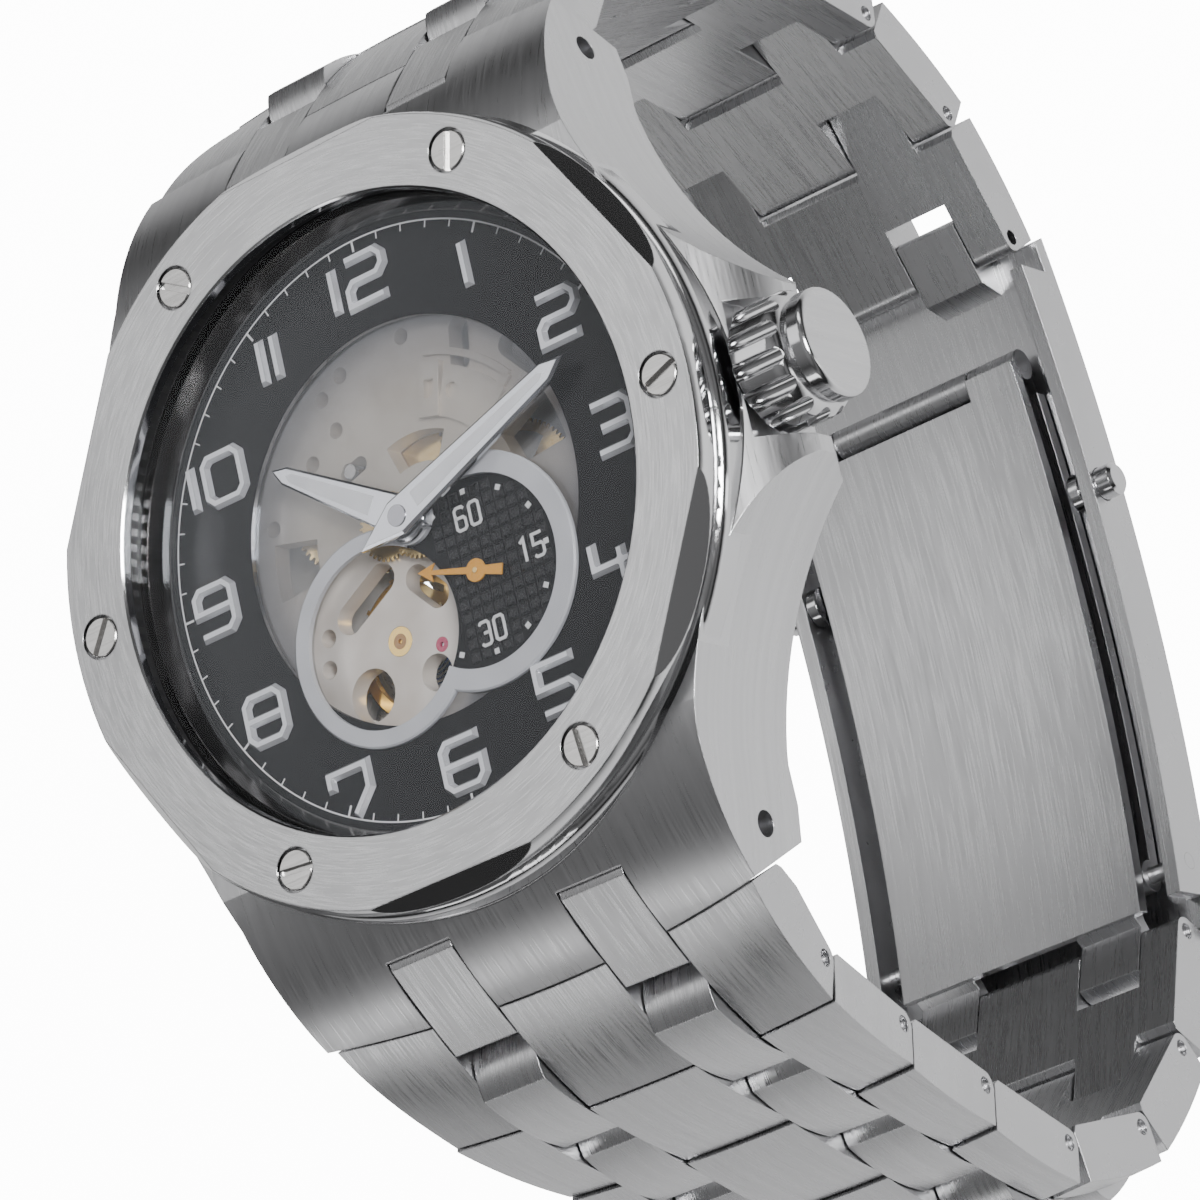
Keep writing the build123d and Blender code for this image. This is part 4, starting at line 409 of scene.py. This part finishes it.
FINISHES = {
    "case_middle": CASE_STEEL, "bezel": BEZEL_STEEL, "bezel_screws": SCREW_STEEL, "crystal": CRYSTAL,
    "crystal_gasket": RUBBER, "dial_flange": FLANGE_DARK, "case_back": BACK_STEEL,
    "back_window": BACK_GLASS, "crown_tube": BRIGHT_STEEL, "lug_bars": SPRING_STEEL,
    "crown": CROWN_STEEL, "crown_gasket": RUBBER, "winding_stem": SPRING_STEEL,
    "dial_ring": DIAL_BLACK, "dial_window": SMOKED, "hour_numerals": NUMERALS,
    "eight_frame": FRAME_STEEL, "seconds_subdial": DIAL_BLACK, "hour_hand": HAND_STEEL,
    "minute_hand": HAND_STEEL, "small_seconds_hand": ORANGE_PAINT, "main_plate": NICKEL,
    "setting_cover": NICKEL, "movement_ring": HOLDER_GREY, "barrel": TRAIN_BRASS,
    "mainspring": SPRING_STEEL, "barrel_arbor": SPRING_STEEL, "centre_wheel": TRAIN_BRASS,
    "third_wheel": TRAIN_BRASS, "fourth_wheel": TRAIN_BRASS, "escape_wheel": SPRING_STEEL,
    "pallet_fork": SPRING_STEEL, "balance_wheel": BALANCE_GOLD, "hairspring": BLUE_STEEL,
    "balance_cock": BRIDGE_NICKEL, "bearing_jewels": JEWELS, "minute_wheel": TRAIN_BRASS,
    "hour_wheel": TRAIN_BRASS, "cannon_pinion": SPRING_STEEL, "train_bridge": BRIDGE_NICKEL,
    "rotor": BLADE_STEEL, "clasp_cover": CLASP_STEEL, "clasp_outer_blade": CLASP_STEEL,
    "clasp_inner_blade": CLASP_STEEL, "clasp_pusher_left": BRIGHT_STEEL, "clasp_pusher_right": BRIGHT_STEEL,
}
for name, cad_node in NODES.items():
    finish = LINK_STEEL if name.startswith("link_") else FINISHES[name]
    cad_node.data.materials.clear()
    cad_node.data.materials.append(finish)


# ---------------------------------------------------------------- printed and raised details
def clock(radius, angle):
    """A point on the dial, with its angle clockwise from 12."""
    return (radius * sin(radians(angle)), radius * cos(radians(angle)))


def new_piece(name, bm, finish, body):
    """A mesh piece that moves with a body and takes its finish from a slot."""
    mesh = bpy.data.meshes.new(name)
    bmesh.ops.recalc_face_normals(bm, faces=bm.faces)
    bm.to_mesh(mesh)
    bm.free()
    mesh.materials.append(finish)
    piece = bpy.data.objects.new(name, mesh)
    bpy.context.scene.collection.objects.link(piece)
    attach(piece, body)
    return piece


def plate(bm, outline, bottom, top, inset=0.0):
    """A flat raised piece over a plan outline, with its top drawn in by the inset."""
    count = len(outline)
    cx = sum(x for x, _ in outline) / count
    cy = sum(y for _, y in outline) / count
    rings = []
    for height, pull in ((bottom, 0.0), (top, inset)):
        ring = []
        for x, y in outline:
            reach = sqrt((x - cx) ** 2 + (y - cy) ** 2)
            share = 1 - pull / reach
            point = ((cx + (x - cx) * share) * MM, (cy + (y - cy) * share) * MM, height * MM)
            ring.append(bm.verts.new(point))
        rings.append(ring)
    low, high = rings
    bm.faces.new(high)
    bm.faces.new(low[::-1])
    for k in range(count):
        following = (k + 1) % count
        bm.faces.new((low[k], low[following], high[following], high[k]))


def ribbon(bm, points, width, bottom, top, closed=False):
    """A stroke of even width along points, mitred at its corners, as one raised strip."""
    count = len(points)
    left, right = [], []
    for k, (x, y) in enumerate(points):
        before = points[k - 1] if k > 0 or closed else None
        after = points[(k + 1) % count] if k < count - 1 or closed else None
        ways = []
        for start, end in ((before, (x, y)), ((x, y), after)):
            if start is not None and end is not None:
                way = Vector((end[0] - start[0], end[1] - start[1])).normalized()
                ways.append(way)
        normals = [Vector((-way.y, way.x)) for way in ways]
        mitre = sum(normals, Vector((0, 0))).normalized()
        reach = width / 2 / max(mitre.dot(normals[0]), 0.35)
        left.append((x + mitre.x * reach, y + mitre.y * reach))
        right.append((x - mitre.x * reach, y - mitre.y * reach))
    verts = [
        [bm.verts.new((px * MM, py * MM, height * MM)) for px, py in side]
        for side, height in ((left, top), (right, top), (left, bottom), (right, bottom))
    ]
    upper_left, upper_right, lower_left, lower_right = verts
    for k in range(count if closed else count - 1):
        n = (k + 1) % count
        bm.faces.new((upper_left[k], upper_left[n], upper_right[n], upper_right[k]))
        bm.faces.new((lower_left[n], lower_left[k], lower_right[k], lower_right[n]))
        bm.faces.new((lower_left[k], lower_left[n], upper_left[n], upper_left[k]))
        bm.faces.new((lower_right[n], lower_right[k], upper_right[k], upper_right[n]))
    if not closed:
        for k in (0, count - 1):
            bm.faces.new((lower_left[k], upper_left[k], upper_right[k], lower_right[k]))


# Minute track: a thin ring with a tick at every minute, longer at every fifth
TRACK_RADIUS = 15.95
TRACK_WIDTH = 0.09
TRACK_SEGMENTS = 180
TICK = {True: (0.62, 0.13), False: (0.42, 0.08)}  # length and width, at a fifth minute or not
PRINT = 0.02  # height of print

track = bmesh.new()
ring = [clock(TRACK_RADIUS, 360 * k / TRACK_SEGMENTS) for k in range(TRACK_SEGMENTS)]
ribbon(track, ring, TRACK_WIDTH, DIAL_TOP, DIAL_TOP + PRINT, closed=True)
for minute in range(60):
    length, width = TICK[minute % 5 == 0]
    inner = clock(TRACK_RADIUS - length, minute * 6)
    outer = clock(TRACK_RADIUS - TRACK_WIDTH / 2, minute * 6)
    ribbon(track, [inner, outer], width, DIAL_TOP, DIAL_TOP + PRINT)
new_piece("minute_track", track, WHITE_PRINT, "case")

# Subdial: a grid of small raised tiles
TILE_PITCH = 0.72
TILE_WIDTH = 0.62
TILE_RISE = 0.06
TILE_INSET = 0.14
TILE_ROWS = 8  # on each side of the arbor
TILE_REACH = 5.08
BALANCE_EDGE = 4.98
HUB_EDGE = 1.5

tiles = bmesh.new()
for row in range(-TILE_ROWS, TILE_ROWS + 1):
    for column in range(-TILE_ROWS, TILE_ROWS + 1):
        cx = SECONDS_CENTRE[0] + column * TILE_PITCH
        cy = SECONDS_CENTRE[1] + row * TILE_PITCH
        half = TILE_WIDTH / 2
        corners = [(cx + half * a, cy + half * b) for a, b in ((-1, -1), (1, -1), (1, 1), (-1, 1))]
        inside = all(
            sqrt((x - SECONDS_CENTRE[0]) ** 2 + (y - SECONDS_CENTRE[1]) ** 2) < TILE_REACH
            and sqrt((x - BALANCE_CENTRE[0]) ** 2 + (y - BALANCE_CENTRE[1]) ** 2) > BALANCE_EDGE
            and sqrt(x * x + y * y) > HUB_EDGE
            for x, y in corners
        )
        on_arbor = row == column == 0
        if inside and not on_arbor:
            plate(tiles, corners, SUBDIAL_TOP, SUBDIAL_TOP + TILE_RISE, TILE_INSET)
new_piece("subdial_tiles", tiles, TILE_BLACK, "case")

# Subdial marks: square dots round the edge, and the numerals 60, 15 and 30
DOT_CIRCLE = 4.45
DOT_HALF = 0.15
DOT_ANGLES = (0, 30, 60, 90, 120, 150, 180, 210, 330)
FIGURE_WIDTH = 0.62
FIGURE_HEIGHT = 1.25
FIGURE_STROKE = 0.17
FIGURE_GAP = 0.34
FIGURES = {"60": (0, 3.1), "15": (90, 3.46), "30": (180, 3.3)}  # angle from the top, and distance


def figure_strokes(figure):
    """Strokes of one narrow figure in a box of width 1 and height 1, and whether each is closed."""
    box = [(0.2, 1), (0, 0.9), (0, 0.1), (0.2, 0), (0.8, 0), (1, 0.1), (1, 0.9), (0.8, 1)]
    strokes = {
        "0": [(box, True)],
        "1": [([(0.2, 0.85), (0.6, 1.0), (0.6, 0)], False)],
        "3": [
            ([(0, 0.9), (0.2, 1), (0.8, 1), (1, 0.9), (1, 0.1), (0.8, 0), (0.2, 0), (0, 0.1)], False),
            ([(0.35, 0.52), (0.9, 0.52)], False),
        ],
        "5": [
            ([(1, 1), (0, 1), (0, 0.55), (0.8, 0.55), (1, 0.45), (1, 0.1), (0.8, 0), (0.2, 0),
              (0, 0.1)], False),
        ],
        "6": [
            ([(1, 0.9), (0.8, 1), (0.2, 1), (0, 0.9), (0, 0.1), (0.2, 0), (0.8, 0), (1, 0.1), (1, 0.45),
              (0.8, 0.55), (0.05, 0.55)], False),
        ],
    }
    return strokes[figure]


marks = bmesh.new()
MARK_BOTTOM = SUBDIAL_TOP + TILE_RISE * 0.5
MARK_TOP = SUBDIAL_TOP + TILE_RISE + PRINT
for angle in DOT_ANGLES:
    dx, dy = clock(DOT_CIRCLE, angle)
    cx, cy = SECONDS_CENTRE[0] + dx, SECONDS_CENTRE[1] + dy
    turn = radians(-angle)
    square = []
    for a, b in ((-1, -1), (1, -1), (1, 1), (-1, 1)):
        x, y = a * DOT_HALF, b * DOT_HALF
        square.append((cx + x * cos(turn) - y * sin(turn), cy + x * sin(turn) + y * cos(turn)))
    plate(marks, square, MARK_BOTTOM, MARK_TOP)
for text, (angle, radius) in FIGURES.items():
    dx, dy = clock(radius, angle)
    whole = 2 * FIGURE_WIDTH + FIGURE_GAP
    for index, figure in enumerate(text):
        left_edge = SECONDS_CENTRE[0] + dx - whole / 2 + index * (FIGURE_WIDTH + FIGURE_GAP)
        low_edge = SECONDS_CENTRE[1] + dy - FIGURE_HEIGHT / 2
        for stroke, closed in figure_strokes(figure):
            points = [(left_edge + x * FIGURE_WIDTH, low_edge + y * FIGURE_HEIGHT) for x, y in stroke]
            ribbon(marks, points, FIGURE_STROKE, MARK_BOTTOM, MARK_TOP, closed)
new_piece("subdial_marks", marks, WHITE_PRINT, "case")

# Luminous inlays of the hands, each along its own hand
HOUR_ANGLE = 305.9
MINUTE_ANGLE = 70.8
LUME_SINK = 0.06
LUME_RISE = 0.015
LUME_INSET = 0.05
LUME_POINT = 1.6  # length of the inlay's point, in half widths


def lume(name, body, angle, inner, outer, inner_half, outer_half, top):
    """A tapering inlay on a hand, a little crowned over its edges."""
    bm = bmesh.new()
    way = Vector(clock(1, angle))
    side = Vector((-way.y, way.x))
    outline = []
    tip = outer + outer_half * LUME_POINT
    for along, across in (
        (inner, -inner_half), (outer, -outer_half), (tip, 0.0), (outer, outer_half), (inner, inner_half)
    ):
        point = way * along + side * across
        outline.append((point.x, point.y))
    plate(bm, outline, top - LUME_SINK, top + LUME_RISE, LUME_INSET)
    new_piece(name, bm, WHITE_LUME, body)


lume("hour_lume", "hour_unit", HOUR_ANGLE, 2.2, 8.1, 0.55, 0.26, HOUR_HAND_TOP)
lume("minute_lume", "minute_unit", MINUTE_ANGLE, 1.3, 11.2, 0.48, 0.2, MINUTE_HAND_TOP)


# ---------------------------------------------------------------- floor, lights and camera
FLOOR = -135.0
FLOOR_HALF = 2500.0
FLOOR_GLOW = 0.22  # what the floor sends to the watch
FLOOR_SEEN = 14.0  # the light table that the camera sees

floor_mesh = bmesh.new()
for corner in ((-1, -1), (1, -1), (1, 1), (-1, 1)):
    floor_mesh.verts.new((corner[0] * FLOOR_HALF * MM, corner[1] * FLOOR_HALF * MM, FLOOR * MM))
floor_mesh.faces.new(floor_mesh.verts)
floor_data = bpy.data.meshes.new("studio_floor")
floor_mesh.to_mesh(floor_data)
floor_mesh.free()
floor_shader = Shader("studio_floor")
mottle = floor_shader.noise(floor_shader.place.outputs["Object"], 30.0, 4.0)
floor_colour = floor_shader.blend(mottle, rgb(0.93, 0.93, 0.93), rgb(0.90, 0.90, 0.90))
floor_ray = floor_shader.node("ShaderNodeLightPath", {}).outputs["Is Camera Ray"]
glow = floor_shader.spread(floor_ray, FLOOR_GLOW, FLOOR_SEEN)
pale = floor_shader.surface(
    Base_Color=floor_colour, Roughness=0.8, Emission_Color=floor_colour, Emission_Strength=glow
)
nothing = floor_shader.node("ShaderNodeBsdfTransparent", {})
from_below = floor_shader.node("ShaderNodeNewGeometry", {}).outputs["Backfacing"]
floor_mix = {0: from_below, 1: pale.outputs[0], 2: nothing.outputs[0]}
floor_data.materials.append(floor_shader.finish(floor_shader.node("ShaderNodeMixShader", floor_mix)))
floor_object = bpy.data.objects.new("studio_floor", floor_data)
bpy.context.scene.collection.objects.link(floor_object)

# Camera: set from the six bezel screws and the dial's circles
AZIMUTH = radians(59.638)
ELEVATION = radians(52.545)
ROLL = radians(-77.822)
DISTANCE = 334.49
SHIFT_RIGHT = 9.861
SHIFT_UP = -4.248
SENSOR = 36.0
LENS = 191.7

back = Vector((sin(AZIMUTH) * cos(ELEVATION), -cos(AZIMUTH) * cos(ELEVATION), sin(ELEVATION)))
level = Vector((0, 0, 1)).cross(back).normalized()
upright = back.cross(level)
right = cos(ROLL) * level + sin(ROLL) * upright
above = -sin(ROLL) * level + cos(ROLL) * upright
camera_data = bpy.data.cameras.new("camera")
camera_data.sensor_width = SENSOR
camera_data.lens = LENS
camera_data.clip_start = 0.01
camera_data.clip_end = 20.0
camera = bpy.data.objects.new("camera", camera_data)
eye = (back * DISTANCE + right * SHIFT_RIGHT + above * SHIFT_UP) * MM
turn = Matrix((right, above, back)).transposed().to_4x4()
camera.matrix_world = Matrix.Translation(eye) @ turn
bpy.context.scene.collection.objects.link(camera)
bpy.context.scene.camera = camera


def softbox(name, direction, distance, size, radiance):
    """A soft light, placed by its direction to the camera's right, up and back, that faces the watch."""
    way = (right * direction[0] + above * direction[1] + back * direction[2]).normalized()
    data = bpy.data.lights.new(name, "AREA")
    data.shape = "RECTANGLE"
    data.size, data.size_y = size[0] * MM, size[1] * MM
    data.energy = radiance * pi * data.size * data.size_y
    lamp = bpy.data.objects.new(name, data)
    lamp.rotation_euler = (-way).to_track_quat("-Z", "Y").to_euler()
    lamp.location = way * distance * MM
    bpy.context.scene.collection.objects.link(lamp)


softbox("key_light", (-0.94, 0.30, 0.30), 520, (260, 200), 1.3)
softbox("high_light", (-0.30, 0.90, 0.45), 560, (300, 120), 2.6)
softbox("side_light", (0.95, 0.15, 0.35), 560, (70, 420), 2.4)
softbox("low_light", (-0.35, -0.85, 0.25), 560, (320, 80), 2.4)
softbox("front_light", (0.15, 0.30, 0.94), 600, (200, 200), 30.0)

# Surroundings: steel mirrors darker bands, while the camera sees a plain pale backdrop
BANDS = (
    (0.0, 0.14), (0.46, 0.10), (0.53, 0.02), (0.63, 0.05),
    (0.71, 0.24), (0.80, 0.07), (0.90, 0.20), (1.0, 0.34),
)
BACKDROP = 14.0
world = bpy.data.worlds.new("studio")
world.use_nodes = True
world_tree = world.node_tree
world_tree.nodes.clear()


def world_node(kind, **settings):
    """A node of the surroundings."""
    made = world_tree.nodes.new(kind)
    for key, value in settings.items():
        setattr(made, key, value)
    return made


direction = world_node("ShaderNodeTexCoord")
split = world_node("ShaderNodeSeparateXYZ")
height = world_node("ShaderNodeMapRange")
height.inputs["From Min"].default_value = -1.0
bands = world_node("ShaderNodeValToRGB")
while len(bands.color_ramp.elements) < len(BANDS):
    bands.color_ramp.elements.new(0.5)
for element, (place, level_value) in zip(bands.color_ramp.elements, BANDS):
    element.position = place
    element.color = rgb(level_value, level_value, level_value * 1.01)
mirrored = world_node("ShaderNodeBackground")
seen = world_node("ShaderNodeBackground")
seen.inputs["Color"].default_value = rgb(0.95, 0.95, 0.95)
seen.inputs["Strength"].default_value = BACKDROP
ray = world_node("ShaderNodeLightPath")
either = world_node("ShaderNodeMixShader")
sky = world_node("ShaderNodeOutputWorld")
for start, end in (
    (direction.outputs["Generated"], split.inputs[0]), (split.outputs[2], height.inputs["Value"]),
    (height.outputs[0], bands.inputs[0]), (bands.outputs[0], mirrored.inputs["Color"]),
    (ray.outputs["Is Camera Ray"], either.inputs[0]), (mirrored.outputs[0], either.inputs[1]),
    (seen.outputs[0], either.inputs[2]), (either.outputs[0], sky.inputs["Surface"]),
):
    world_tree.links.new(start, end)
bpy.context.scene.world = world

bpy.context.view_layer.update()
